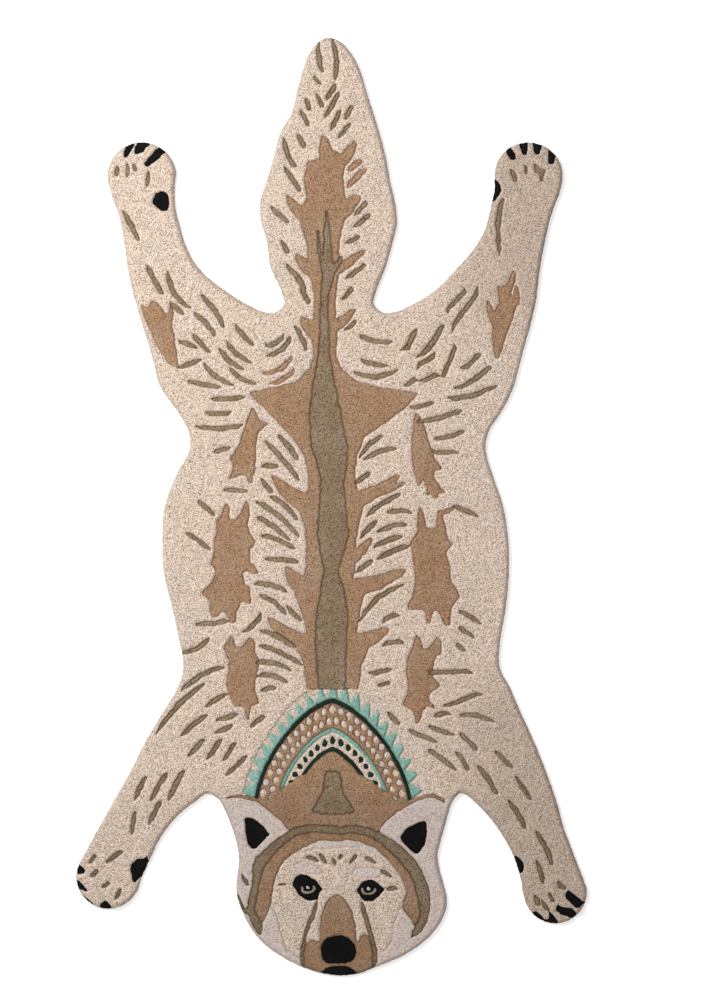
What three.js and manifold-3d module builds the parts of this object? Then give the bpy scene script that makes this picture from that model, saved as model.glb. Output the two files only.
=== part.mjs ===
// A child's floor rug, hand tufted in the outline of a spread animal hide: tail, four legs and a wolf's
// head. It is one flat solid. The fur pile stands highest, and every darker yarn is sheared lower, so
// the coat's stripes, blotches and fur marks are real hollows in the upper face.
// Millimetres, +Z up, tail towards +Y, head towards -Y. The origin is the middle of the underside.

import * as THREE from 'three';
import { mergeVertices } from 'three/addons/utils/BufferGeometryUtils.js';
import Module from 'manifold-3d';

const wasm = await Module();
wasm.setup();

// Driving dimensions
const THICKNESS = 15; // underside to the tips of the fur pile
const RIM_ROUND = 6; // radius of the pile's rolled rim
const RIM_STEPS = 2; // facets across that roll
const OUTLINE_STEPS = 264; // straight pieces around the whole edge
const CUT_OVER = 2; // how far a cutting block stands above the pile
const MARK_WIDTH = 8.8; // a fur mark at its middle
const MARK_POINTS = 1.19; // how much longer its pointed ends make it than its row says
const LONG_MARK = 60; // a mark longer than this has a corner at its middle too
const PRONG_HOOK = 0.05; // how far a prong's middle bows, as a share of its reach

// How far each yarn is sheared below the fur
const SHEARED = { rose: 1.5, collar: 3, tan: 4, black: 4.5, olive: 5 };

// The edge, as half sections: at each y, where it lies on the left and on the right
const TAIL = [
  { y: 800, left: -5, right: -5 },
  { y: 790, left: -25, right: 18 },
  { y: 765, left: -41, right: 38 },
  { y: 735, left: -51, right: 51 },
  { y: 700, left: -60, right: 61 },
  { y: 670, left: -68, right: 71 },
  { y: 640, left: -86, right: 80 },
  { y: 600, left: -97, right: 91 },
  { y: 555, left: -110, right: 99 },
  { y: 515, left: -122, right: 108 },
  { y: 485, left: -119, right: 111 },
  { y: 450, left: -109, right: 103 },
  { y: 410, left: -104, right: 92 },
  { y: 375, left: -88, right: 78 },
  { y: 345, left: -80, right: 71 },
];
const HIND_LEG_INNER = [
  { y: 329, left: -102, right: 94 },
  { y: 345, left: -146, right: 140 },
  { y: 372, left: -188, right: 182 },
  { y: 402, left: -224, right: 211 },
  { y: 440, left: -248, right: 244 },
  { y: 475, left: -259, right: 264 },
  { y: 512, left: -268, right: 273 },
];
const HIND_LEG_OUTER = [
  { y: 500, left: -363, right: 375 },
  { y: 450, left: -353, right: 363 },
  { y: 400, left: -346, right: 354 },
  { y: 350, left: -334, right: 348 },
  { y: 300, left: -319, right: 336 },
  { y: 250, left: -304, right: 322 },
  { y: 205, left: -292, right: 310 },
];
const FLANK = [
  { y: 165, left: -264, right: 291 },
  { y: 130, left: -244, right: 268 },
  { y: 98, left: -241, right: 262 },
  { y: 60, left: -261, right: 272 },
  { y: 0, left: -284, right: 292 },
  { y: -60, left: -288, right: 301 },
  { y: -110, left: -286, right: 302 },
  { y: -170, left: -272, right: 297 },
  { y: -230, left: -259, right: 287 },
  { y: -275, left: -252, right: 286 },
];
const FORE_LEG_OUTER = [
  { y: -310, left: -262, right: 304 },
  { y: -350, left: -286, right: 321 },
  { y: -400, left: -316, right: 344 },
  { y: -450, left: -341, right: 364 },
  { y: -500, left: -369, right: 382 },
  { y: -550, left: -397, right: 396 },
  { y: -590, left: -419, right: 411 },
];
const FORE_LEG_INNER = [
  { y: -640, left: -328, right: 325 },
  { y: -600, left: -310, right: 313 },
  { y: -565, left: -293, right: 295 },
  { y: -530, left: -266, right: 270 },
  { y: -502, left: -232, right: 243 },
  { y: -488, left: -206, right: 222 },
];
const HEAD = [
  { y: -508, left: -187, right: 203 },
  { y: -535, left: -174, right: 196 },
  { y: -568, left: -163, right: 186 },
  { y: -600, left: -157, right: 180 },
  { y: -630, left: -160, right: 186 },
  { y: -662, left: -161, right: 195 },
  { y: -690, left: -152, right: 194 },
  { y: -718, left: -138, right: 180 },
  { y: -745, left: -116, right: 154 },
  { y: -768, left: -84, right: 118 },
  { y: -786, left: -48, right: 74 },
  { y: -797, left: -12, right: 45 },
];
const CHIN = { x: 18, y: -800 };

// Each paw is an arc of the edge, from its inner side round to its outer side
const PAWS = {
  hindRight: { x: 336, y: 563, radius: 58, from: 196, to: -22 },
  foreRight: { x: 382, y: -658, radius: 53, from: 190, to: 396 },
  foreLeft: { x: -381, y: -632, radius: 54, from: -28, to: -222 },
  hindLeft: { x: -324, y: 563, radius: 58, from: -18, to: 200 },
};
// The black claws. x and y are the middle of a claw's inner end; inner and outer are its widths there
// and at the rim
const CLAWS = [
  // left hind paw
  { x: -351, y: 597, turn: 68, reach: 28, inner: 5, outer: 14 },
  { x: -334, y: 601, turn: 54, reach: 29, inner: 4, outer: 20 },
  { x: -315, y: 583, turn: 44, reach: 38, inner: 9, outer: 14 },
  // right hind paw
  { x: 313, y: 592, turn: 118, reach: 31, inner: 9, outer: 12 },
  { x: 332, y: 600, turn: 103, reach: 27, inner: 4, outer: 16 },
  { x: 352, y: 601, turn: 92, reach: 24, inner: 7, outer: 16 },
  { x: 375, y: 583, turn: 88, reach: 28, inner: 10, outer: 12 },
  // left forepaw
  { x: -419, y: -619, turn: 180, reach: 18, inner: 6, outer: 17 },
  { x: -415, y: -656, turn: 137, reach: 26, inner: 5, outer: 10 },
  { x: -426, y: -663, turn: -45, reach: 28, inner: 6, outer: 12 },
  { x: -384, y: -671, turn: 270, reach: 19, inner: 3, outer: 24 },
  // right forepaw
  { x: 402, y: -657, turn: -42, reach: 34, inner: 12, outer: 15 },
  { x: 383, y: -684, turn: -18, reach: 36, inner: 9, outer: 15 },
  { x: 373, y: -691, turn: -70, reach: 25, inner: 4, outer: 19 },
  { x: 347, y: -690, turn: -47, reach: 32, inner: 7, outer: 12 },
];
// The black pad on the inner edge of each leg, corner by corner
const PADS = [
  [[-305, 521], [-300, 533], [-291, 538], [-279, 537], [-276, 520], [-278, 507], [-282, 503], [-297, 512]],
  [[279, 562], [286, 556], [290, 544], [286, 531], [279, 521], [273, 520], [270, 535], [274, 552]],
  [
    [-310, -592], [-318, -598], [-334, -603], [-342, -611], [-340, -633], [-335, -641], [-326, -632],
    [-317, -608],
  ],
  [[312, -593], [321, -595], [327, -604], [328, -616], [325, -626], [321, -624], [316, -608]],
];

// Tan yarn down the back: the tail's blotch, the trunk along the spine, and the wings on the rump
const BACK = [
  { y: 606, left: -16, right: 14 },
  { y: 592, left: -21, right: 25 },
  { y: 588, left: -40, right: 24 },
  { y: 562, left: -47, right: 21 },
  { y: 528, left: -41, right: 23 },
  { y: 508, left: -52, right: 29 },
  { y: 482, left: -51, right: 21 },
  { y: 452, left: -42, right: 14 },
  { y: 415, left: -37, right: 14 },
  { y: 385, left: -33, right: 12 },
  { y: 355, left: -28, right: 8 },
  { y: 325, left: -30, right: 8 },
  { y: 290, left: -34, right: 11 },
  { y: 258, left: -29, right: 8 },
  { y: 236, left: -37, right: 20 },
  { y: 214, left: -58, right: 47 },
  { y: 203, left: -98, right: 88 },
  { y: 194, left: -140, right: 150 },
  { y: 168, left: -111, right: 126 },
  { y: 144, left: -88, right: 94 },
  { y: 118, left: -64, right: 57 },
  { y: 88, left: -45, right: 44 },
  { y: 56, left: -38, right: 40 },
  { y: 28, left: -40, right: 46 },
  { y: 0, left: -56, right: 55 },
  { y: -30, left: -45, right: 47 },
  { y: -66, left: -42, right: 42 },
  { y: -96, left: -42, right: 42 },
  { y: -122, left: -48, right: 37 },
  { y: -146, left: -62, right: 58 },
  { y: -176, left: -50, right: 49 },
  { y: -212, left: -42, right: 44 },
  { y: -240, left: -56, right: 64 },
  { y: -272, left: -46, right: 52 },
  { y: -312, left: -40, right: 46 },
];
// Tan prongs that leave the trunk and rise towards the tail
const PRONGS = [
  { x: -4, y: 596, reach: 40, turn: 103, root: 30 },
  { x: 17, y: 588, reach: 46, turn: 56, root: 24 },
  { x: 14, y: 502, reach: 48, turn: 42, root: 34 },
  { x: -44, y: 496, reach: 50, turn: 130, root: 24 },
  { x: -26, y: 402, reach: 46, turn: 140, root: 28 },
  { x: 2, y: 402, reach: 70, turn: 34, root: 22 },
  { x: -26, y: 300, reach: 36, turn: 138, root: 28 },
  { x: 2, y: 304, reach: 54, turn: 42, root: 22 },
  { x: -44, y: 6, reach: 76, turn: 140, root: 32 },
  { x: 46, y: 12, reach: 86, turn: 31, root: 28 },
  { x: 66, y: 20, reach: 72, turn: 21, root: 16 },
  { x: 31, y: -92, reach: 58, turn: 46, root: 23 },
  { x: -44, y: -138, reach: 50, turn: 134, root: 36 },
  { x: 34, y: -140, reach: 104, turn: 20, root: 34 },
  { x: -42, y: -236, reach: 82, turn: 144, root: 34 },
  { x: 46, y: -232, reach: 62, turn: 26, root: 32 },
];
// Olive yarn down the middle of the back
const SPINE = [
  { y: 508, left: -9, right: -7 },
  { y: 480, left: -12, right: -3 },
  { y: 420, left: -14, right: 3 },
  { y: 400, left: -15, right: 6 },
  { y: 360, left: -17, right: -4 },
  { y: 320, left: -19, right: -5 },
  { y: 260, left: -22, right: -2 },
  { y: 220, left: -30, right: 5 },
  { y: 165, left: -37, right: 16 },
  { y: 110, left: -35, right: 27 },
  { y: 78, left: -24, right: 28 },
  { y: 45, left: -17, right: 22 },
  { y: 0, left: -21, right: 25 },
  { y: -45, left: -23, right: 30 },
  { y: -78, left: -18, right: 21 },
  { y: -108, left: -12, right: 12 },
  { y: -140, left: -18, right: 22 },
  { y: -180, left: -25, right: 28 },
  { y: -230, left: -27, right: 26 },
  { y: -312, left: -21, right: 23 },
];
// The spine's two thin forks in the tail
const SPINE_FORKS = [
  { x: -2, y: 396, reach: 42, turn: 58, root: 12 },
  { x: -12, y: 404, reach: 76, turn: 98, root: 7 },
];

// Ragged tan blotches, as half sections, with the horns and teeth that stand out from each
const BLOTCHES = [
  {
    name: 'left thigh',
    rows: [
      { y: 352, left: -304, right: -297 },
      { y: 336, left: -317, right: -284 },
      { y: 312, left: -312, right: -272 },
      { y: 284, left: -300, right: -266 },
      { y: 260, left: -286, right: -263 },
      { y: 246, left: -278, right: -260 },
      { y: 236, left: -262, right: -258 },
    ],
    horns: [
      { x: -308, y: 322, reach: 28, turn: 122, root: 16 },
      { x: -276, y: 316, reach: 34, turn: 86, root: 12 },
    ],
  },
  {
    name: 'right thigh',
    rows: [
      { y: 376, left: 284, right: 298 },
      { y: 347, left: 287, right: 317 },
      { y: 325, left: 272, right: 311 },
      { y: 302, left: 275, right: 303 },
      { y: 276, left: 275, right: 294 },
      { y: 252, left: 281, right: 286 },
    ],
    horns: [
      { x: 297, y: 362, reach: 48, turn: 70, root: 17 },
      { x: 312, y: 343, reach: 38, turn: 84, root: 15 },
      { x: 278, y: 320, reach: 37, turn: 107, root: 15 },
    ],
  },
  {
    name: 'upper left',
    rows: [
      { y: 170, left: -135, right: -132 },
      { y: 149, left: -144, right: -122 },
      { y: 142, left: -145, right: -106 },
      { y: 128, left: -150, right: -124 },
      { y: 100, left: -160, right: -129 },
      { y: 84, left: -172, right: -128 },
      { y: 60, left: -163, right: -131 },
      { y: 54, left: -158, right: -134 },
    ],
    horns: [
      { x: -158, y: 64, reach: 24, turn: 228, root: 16 },
      { x: -137, y: 62, reach: 24, turn: 272, root: 13 },
    ],
  },
  {
    name: 'upper right',
    rows: [
      { y: 162, left: 146, right: 149 },
      { y: 146, left: 140, right: 158 },
      { y: 110, left: 138, right: 167 },
      { y: 86, left: 138, right: 176 },
      { y: 66, left: 140, right: 192 },
      { y: 58, left: 142, right: 172 },
    ],
    horns: [
      { x: 150, y: 66, reach: 32, turn: 270, root: 18 },
      { x: 162, y: 70, reach: 60, turn: 290, root: 24 },
      { x: 168, y: 46, reach: 36, turn: 318, root: 22 },
      { x: 172, y: 44, reach: 28, turn: 250, root: 16 },
    ],
  },
  {
    name: 'left flank',
    rows: [
      { y: -22, left: -195, right: -146 },
      { y: -44, left: -197, right: -137 },
      { y: -58, left: -199, right: -127 },
      { y: -74, left: -200, right: -138 },
      { y: -96, left: -206, right: -139 },
      { y: -104, left: -197, right: -130 },
      { y: -113, left: -196, right: -150 },
      { y: -130, left: -205, right: -147 },
      { y: -146, left: -221, right: -141 },
      { y: -158, left: -208, right: -150 },
      { y: -180, left: -204, right: -161 },
    ],
    horns: [
      { x: -185, y: -28, reach: 38, turn: 80, root: 18 },
      { x: -154, y: -31, reach: 45, turn: 76, root: 22 },
      { x: -140, y: -98, reach: 22, turn: -46, root: 18 },
      { x: -148, y: -136, reach: 32, turn: -72, root: 20 },
      { x: -170, y: -170, reach: 30, turn: -80, root: 20 },
      { x: -196, y: -172, reach: 18, turn: -104, root: 22 },
    ],
  },
  {
    name: 'right flank',
    rows: [
      { y: -36, left: 151, right: 194 },
      { y: -52, left: 142, right: 199 },
      { y: -62, left: 134, right: 210 },
      { y: -76, left: 139, right: 196 },
      { y: -102, left: 142, right: 204 },
      { y: -120, left: 143, right: 203 },
      { y: -140, left: 141, right: 215 },
      { y: -153, left: 138, right: 221 },
      { y: -170, left: 130, right: 206 },
      { y: -177, left: 134, right: 205 },
    ],
    horns: [
      { x: 157, y: -40, reach: 44, turn: 96, root: 18 },
      { x: 190, y: -40, reach: 38, turn: 98, root: 18 },
      { x: 190, y: -10, reach: 26, turn: 24, root: 11 },
      { x: 166, y: -168, reach: 34, turn: -92, root: 15 },
      { x: 192, y: -166, reach: 40, turn: -74, root: 22 },
    ],
  },
  {
    name: 'left shoulder',
    rows: [
      { y: -240, left: -182, right: -133 },
      { y: -262, left: -174, right: -121 },
      { y: -284, left: -176, right: -126 },
      { y: -300, left: -179, right: -131 },
      { y: -320, left: -173, right: -127 },
      { y: -336, left: -166, right: -122 },
      { y: -341, left: -162, right: -137 },
    ],
    horns: [
      { x: -174, y: -242, reach: 23, turn: 76, root: 20 },
      { x: -143, y: -246, reach: 26, turn: 72, root: 24 },
      { x: -142, y: -336, reach: 30, turn: 272, root: 12 },
    ],
  },
  {
    name: 'right shoulder',
    rows: [
      { y: -242, left: 136, right: 184 },
      { y: -262, left: 129, right: 177 },
      { y: -284, left: 129, right: 172 },
      { y: -305, left: 132, right: 188 },
      { y: -318, left: 130, right: 168 },
      { y: -336, left: 121, right: 164 },
      { y: -346, left: 138, right: 158 },
    ],
    horns: [
      { x: 146, y: -246, reach: 30, turn: 88, root: 20 },
      { x: 174, y: -250, reach: 30, turn: 72, root: 26 },
      { x: 160, y: -328, reach: 24, turn: -40, root: 14 },
      { x: 147, y: -342, reach: 30, turn: -92, root: 18 },
    ],
  },
];

// Fur marks in rows. A row runs from one mark's middle to another's; turn, length and bend run with it.
// A single mark stands at one place
const MARK_ROWS = [
  // tail
  { at: [-16, 767], turn: -80, length: 48, bend: -3 },
  { at: [4, 763], turn: -88, length: 62, bend: 5 },
  { at: [-22, 729], turn: -45, length: 20, bend: 1, width: 7 },
  { from: [-38, 688], to: [-43, 664], count: 2, turn: [-70, -62], length: [28, 32], bend: 1, width: 7.5 },
  { from: [2, 711], to: [1, 687], count: 2, turn: [56, 62], length: [34, 54], bend: -1 },
  { from: [11, 659], to: [33, 673], count: 2, turn: [69, 65], length: [43, 32], bend: 1 },
  { at: [23, 641], turn: 55, length: 38, bend: -1, width: 7.5 },
  { at: [-21, 697], turn: -68, length: 30, bend: 1, width: 7.5 },
  { from: [-49, 624], to: [-64, 560], count: 2, turn: [-58, -55], length: [28, 54], bend: 2 },
  { at: [-70, 605], turn: -66, length: 54, bend: -4 },
  { from: [-86, 499], to: [-79, 446], count: 2, turn: [-45, -53], length: [42, 28], bend: 1 },
  { from: [-59, 392], to: [-46, 357], count: 2, turn: [-48, -63], length: [56, 30], bend: 4, width: 9 },
  { from: [51, 510], to: [55, 490], count: 2, turn: [47, 41], length: [34, 38], bend: -1, width: 9.5 },
  { at: [38, 457], turn: 34, length: 32, bend: -2, width: 9 },
  { from: [44, 404], to: [30, 365], count: 2, turn: [40, 52], length: [50, 32], bend: -2 },
  { at: [32, 310], turn: 42, length: 30, bend: -2 },
  // the tail's two loose tan strokes
  { from: [44, 581], to: [46, 560], count: 2, turn: 43, length: [32, 46], bend: 2, width: 11, yarn: 'tan' },
  // rump
  { from: [-98, 288], to: [-89, 275], count: 2, turn: [36, 41], length: [38, 52], bend: -8 },
  { from: [-92, 244], to: [-82, 228], count: 2, turn: [31, 36], length: [52, 50], bend: -8, yarn: 'tan' },
  { at: [-53, 290], turn: -64, length: 48, bend: 5 },
  { from: [78, 288], to: [78, 251], count: 2, turn: [-14, -9], length: [54, 46], bend: -5 },
  { at: [80, 237], turn: 3, length: 72, bend: -10 },
  // left thigh
  { at: [-298, 392], turn: -61, length: 58, bend: -1 },
  { at: [-256, 373], turn: -54, length: 76, bend: -10 },
  { from: [-260, 340], to: [-243, 279], count: 2, turn: [-42, -20], length: [30, 40], bend: 1 },
  { from: [-201, 334], to: [-214, 312], count: 2, turn: [-52, -47], length: [70, 56], bend: 4 },
  { from: [-146, 293], to: [-217, 283], count: 2, turn: [-47, -42], length: [48, 45], bend: -1 },
  { from: [-153, 269], to: [-168, 257], count: 2, turn: [-41, -40], length: [58, 60], bend: -5 },
  { from: [-148, 225], to: [-188, 229], count: 2, turn: [-28, -33], length: [60, 62], bend: -5 },
  { at: [-240, 247], turn: 18, length: 42, bend: -1 },
  { from: [-214, 212], to: [-174, 188], count: 2, turn: [-12, 4], length: [56, 58], bend: -2 },
  { at: [-340, 480], turn: -58, length: 62, bend: 2 },
  // right thigh
  { from: [134, 288], to: [169, 286], count: 2, turn: 48, length: [46, 70], bend: -4, wave: 4, width: 11 },
  { from: [216, 352], to: [230, 337], count: 2, turn: [66, 62], length: [54, 94], bend: 0, wave: -7 },
  { from: [163, 250], to: [203, 251], count: 2, turn: [54, 76], length: [48, 56], bend: -1, wave: -5 },
  { from: [137, 211], to: [172, 219], count: 2, turn: [24, 8], length: [28, 40], bend: 2, wave: 3 },
  { from: [240, 249], to: [246, 222], count: 2, turn: [36, 30], length: [48, 70], bend: -3, wave: 3 },
  { at: [241, 199], turn: 17, length: 84, bend: -6, wave: 3 },
  { at: [292, 478], turn: 86, length: 92, bend: 6, wave: 3 },
  // left ribs
  { from: [-70, 100], to: [-80, 78], count: 2, turn: [-50, -46], length: [54, 84], bend: 3 },
  { from: [-103, 72], to: [-110, 37], count: 2, turn: [0, -47], length: [28, 32], bend: 0 },
  { from: [-80, 0], to: [-90, -20], count: 2, turn: [-40, -35], length: [62, 98], bend: 6 },
  { from: [-98, -38], to: [-87, -62], count: 2, turn: [-30, -20], length: [74, 64], bend: 4 },
  { at: [-83, -93], turn: -4, length: 56, bend: 1 },
  { from: [-100, -138], to: [-99, -166], count: 2, turn: [-10, -37], length: [60, 54], bend: 5 },
  { at: [-62, -181], turn: -48, length: 38, bend: 1 },
  { from: [-90, -226], to: [-84, -252], count: 2, turn: [-26, -20], length: [64, 76], bend: 4 },
  { from: [-96, -272], to: [-98, -294], count: 2, turn: [-12, -12], length: [60, 58], bend: 5 },
  { at: [-106, -311], turn: 8, length: 28, bend: 0 },
  // right ribs
  { from: [71, 104], to: [85, 92], count: 2, turn: [44, 25], length: [54, 58], bend: 4 },
  { at: [57, 52], turn: 37, length: 34, bend: 0 },
  { from: [92, 1], to: [68, -40], count: 2, turn: [36, 48], length: [72, 42], bend: 3 },
  { from: [118, -11], to: [108, -37], count: 2, turn: [2, 18], length: [44, 50], bend: 3 },
  { from: [101, -57], to: [108, -76], count: 2, turn: [22, 28], length: [50, 56], bend: 2 },
  { at: [60, -99], turn: 33, length: 38, bend: 0 },
  { at: [88, -167], turn: 43, length: 104, bend: 10 },
  { from: [105, -191], to: [108, -236], count: 2, turn: [22, 12], length: [34, 46], bend: 6 },
  { from: [87, -276], to: [90, -299], count: 2, turn: [15, 8], length: [44, 24], bend: -3 },
  // left flank
  { from: [-190, 163], to: [-188, 139], count: 2, turn: [6, 4], length: [48, 76], bend: -5 },
  { from: [-184, 98], to: [-160, 29], count: 2, turn: [14, -1], length: [30, 42], bend: 0 },
  { from: [-212, -3], to: [-223, -60], count: 2, turn: [-36, -35], length: [44, 54], bend: 2 },
  { at: [-202, -195], turn: 5, length: 56, bend: -2 },
  { from: [-138, -192], to: [-233, -232], count: 2, turn: [47, 30], length: [46, 56], bend: -7 },
  // right flank
  { from: [157, 177], to: [187, 157], count: 2, turn: [7, 12], length: [46, 78], bend: -3, wave: 2 },
  { from: [206, 127], to: [197, 98], count: 2, turn: [13, -8], length: [54, 50], bend: -3, wave: 2 },
  { at: [232, -6], turn: -17, length: 50, bend: 2 },
  { from: [241, -190], to: [223, -238], count: 3, turn: [-28, -42], length: [48, 22], bend: 2 },
  // left shoulder and foreleg
  { from: [-217, -294], to: [-254, -345], count: 2, turn: [33, 45], length: [80, 122], bend: 6 },
  { from: [-194, -331], to: [-230, -374], count: 2, turn: [33, 37], length: [48, 62], bend: 2 },
  { from: [-176, -357], to: [-181, -377], count: 2, turn: [20, 24], length: [38, 34], bend: -2 },
  { at: [-125, -368], turn: 38, length: 34, bend: 2 },
  { from: [-226, -408], to: [-170, -415], count: 3, turn: [44, 52], length: [48, 42], bend: 1, wave: 2 },
  { at: [-161, -442], turn: 48, length: 48, bend: 1 },
  { from: [-261, -473], to: [-324, -480], count: 3, turn: [62, 66], length: [58, 48], bend: 2 },
  { from: [-298, -520], to: [-336, -538], count: 2, turn: [66, 80], length: [50, 42], bend: 1 },
  { at: [-369, -596], turn: 42, length: 38, bend: 1 },
  { at: [-405, -598], turn: 52, length: 22, bend: 0, width: 7 },
  // right shoulder and foreleg
  { from: [205, -282], to: [228, -329], count: 2, turn: [1, 15], length: [70, 66], bend: 0, wave: 4 },
  { from: [190, -358], to: [251, -361], count: 2, turn: [8, -8], length: [34, 60], bend: 4 },
  { at: [109, -360], turn: -48, length: 28, bend: 2 },
  { from: [158, -390], to: [191, -381], count: 2, turn: [-22, -16], length: [50, 46], bend: -1 },
  { from: [236, -400], to: [224, -432], count: 2, turn: [-48, -52], length: [44, 40], bend: 3 },
  { at: [193, -430], turn: -38, length: 54, bend: 2 },
  { from: [297, -431], to: [326, -478], count: 2, turn: [-38, -52], length: [46, 48], bend: 2 },
  { from: [268, -463], to: [364, -582], count: 3, turn: [-56, -64], length: [58, 60], bend: 3 },
  { at: [356, -621], turn: -69, length: 46, bend: 2 },
  // toes of the left hind paw
  { at: [-364, 573], turn: 86, length: 21, bend: 0, width: 8 },
  { at: [-349, 577], turn: 91, length: 26, bend: -1, width: 6 },
  { at: [-333, 578], turn: 105, length: 17, bend: 0, width: 6.5 },
  { at: [-313, 560], turn: 87, length: 28, bend: -1, width: 6.5 },
  // toes of the right hind paw
  { at: [312, 568], turn: -72, length: 26, bend: 1, width: 9 },
  { at: [333, 576], turn: 92, length: 22, bend: -1, width: 7 },
  { at: [351, 580], turn: -70, length: 18, bend: 0, width: 9 },
  { at: [362, 566], turn: 82, length: 28, bend: 0, width: 8 },
  // toes of the left forepaw
  { at: [-403, -626], turn: 45, length: 20, bend: 0, width: 8 },
  { at: [-385, -645], turn: 46, length: 20, bend: 0, width: 6.5 },
  { at: [-363, -660], turn: 66, length: 25, bend: -1, width: 7.5 },
  // toes of the right forepaw
  { at: [393, -646], turn: -46, length: 22, bend: 1, width: 9 },
  { at: [377, -665], turn: -68, length: 19, bend: 0, width: 6.5 },
  { at: [368, -678], turn: -56, length: 24, bend: 0, width: 7.5 },
  { at: [350, -671], turn: -66, length: 21, bend: 1, width: 8.5 },
  // brow
  { at: [-30, -601], turn: -22, length: 26, bend: 4, width: 8 },
  { from: [-12, -597], to: [4, -602], count: 2, turn: [-58, -70], length: [23, 18], bend: 1, width: 6 },
  { from: [20, -595], to: [39, -600], count: 2, turn: [66, 56], length: [14, 22], bend: 1, width: 6.5 },
  { from: [68, -603], to: [97, -627], count: 2, turn: [-30, -26], length: [23, 23], bend: 2, width: 7.5 },
  { at: [108, -649], turn: 5, length: 19, bend: 0, width: 8 },
  { at: [-79, -643], turn: 8, length: 19, bend: 1, width: 5 },
  // left cheek
  { from: [-145, -634], to: [-149, -678], count: 2, turn: [-60, -62], length: [28, 37], bend: -1, width: 6 },
];

// The head. Two bands arch round the face, tan inside olive, and end in points. Each row is a section
// across both, as distances from the bands' middle
const BANDS_MIDDLE = { x: 14, y: -667 };
const BANDS = [
  { angle: -30, outer: 141, seam: 141, inner: 141 },
  { angle: -24, outer: 149, seam: 137, inner: 139 },
  { angle: -18, outer: 154, seam: 139, inner: 133 },
  { angle: -12, outer: 155, seam: 141, inner: 118 },
  { angle: -6, outer: 156, seam: 137, inner: 107 },
  { angle: 4, outer: 155, seam: 132, inner: 114 },
  { angle: 14, outer: 151, seam: 130, inner: 114 },
  { angle: 26, outer: 147, seam: 125, inner: 110 },
  { angle: 40, outer: 139, seam: 119, inner: 106 },
  { angle: 56, outer: 133, seam: 119, inner: 105 },
  { angle: 76, outer: 128, seam: 114, inner: 101 },
  { angle: 92, outer: 120, seam: 108, inner: 96 },
  { angle: 108, outer: 132, seam: 117, inner: 102 },
  { angle: 124, outer: 142, seam: 129, inner: 105 },
  { angle: 138, outer: 146, seam: 131, inner: 109 },
  { angle: 148, outer: 153, seam: 135, inner: 114 },
  { angle: 156, outer: 159, seam: 137, inner: 114 },
  { angle: 163, outer: 156, seam: 138, inner: 114 },
  { angle: 170, outer: 151, seam: 139, inner: 114 },
  { angle: 178, outer: 154, seam: 139, inner: 115 },
  { angle: 186, outer: 158, seam: 146, inner: 118 },
  { angle: 194, outer: 156, seam: 141, inner: 129 },
  { angle: 200, outer: 152, seam: 139, inner: 139 },
  { angle: 206, outer: 148, seam: 148, inner: 148 },
];
const BAND_STEPS = 32; // straight pieces along each edge of a band
const BROWS = [
  { x: -38, y: -616, halfWide: 26, halfHigh: 9, turn: -12 },
  { x: 62, y: -624, halfWide: 27, halfHigh: 9, turn: -4 },
];
// above and below are its roundness there: 1 is an oval's, and less is squarer
const NOSE = { x: 13, y: -755, halfWide: 30, halfHigh: 24, above: 0.92, below: 0.7 };
const MOUTH = { x: 14, y: -799, halfWide: 33, halfHigh: 16 };
// Places on the head, given corner by corner
const FACE = [
  [12, -582], [46, -580], [78, -592], [112, -612], [132, -640], [134, -664], [116, -688], [105, -712],
  [104, -738], [92, -756], [60, -768], [20, -772], [-22, -771], [-58, -765], [-78, -750], [-86, -722],
  [-92, -696], [-106, -672], [-108, -646], [-96, -612], [-64, -592], [-28, -584],
];
const EYES = [
  [
    [-67, -643], [-62, -632], [-52, -626], [-39, -628], [-28, -634], [-19, -643], [-15, -651],
    [-20, -658], [-23, -669], [-35, -672], [-46, -668], [-54, -660],
  ],
  [
    [44, -652], [50, -644], [58, -638], [68, -635], [77, -638], [84, -644], [92, -651], [86, -659],
    [78, -667], [68, -673], [59, -672], [50, -664],
  ],
];
const EAR_HOLLOWS = [
  [
    [-148, -529], [-130, -531], [-113, -545], [-104, -557],
    [-117, -571], [-130, -585], [-142, -574], [-147, -552],
  ],
  [
    [162, -534], [144, -541], [127, -550], [117, -563],
    [132, -579], [147, -593], [158, -579], [163, -556],
  ],
];
const BRIDGE = [
  [16, -661], [26, -669], [35, -687], [41, -710], [44, -745], [-19, -745], [-20, -712], [-15, -689],
  [-7, -673], [4, -663],
];
const MUZZLE = [
  [-46, -746], [-31, -737], [-18, -744], [44, -744], [50, -732], [58, -724], [67, -736], [74, -768],
  [74, -806], [-48, -806], [-49, -770],
];
const CROWN = [
  [-66, -556], [-94, -525], [-118, -507], [-88, -484], [-58, -462], [-26, -448], [28, -448], [62, -462],
  [94, -486], [124, -509], [100, -526], [79, -557], [42, -548], [8, -554], [-30, -548],
];
const EARS_AND_CHEEKS = [
  [-210, -500], [-176, -498], [-146, -498], [-120, -506], [-92, -528], [-66, -551], [8, -552], [78, -551],
  [112, -522], [146, -502], [178, -496], [222, -500], [230, -700], [120, -830], [-100, -830], [-190, -700],
];
// Narrow lines of low pile: the ears' upper edges, and the muzzle's sides from the eyes to the chin
const LINES = [
  {
    yarn: 'tan', width: 5.5,
    through: [[-184, -497], [-148, -495], [-119, -503], [-92, -524], [-64, -549]],
  },
  {
    yarn: 'tan', width: 6,
    through: [[200, -508], [180, -493], [148, -498], [112, -518], [76, -549]],
  },
  {
    yarn: 'olive', width: 6.5,
    through: [[-24, -666], [-29, -690], [-39, -714], [-47, -742], [-50, -767], [-45, -791]],
  },
  {
    yarn: 'olive', width: 8,
    through: [[50, -668], [57, -690], [64, -714], [72, -742], [75, -767], [71, -791]],
  },
];
const LINE_STEPS = 8;

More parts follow.
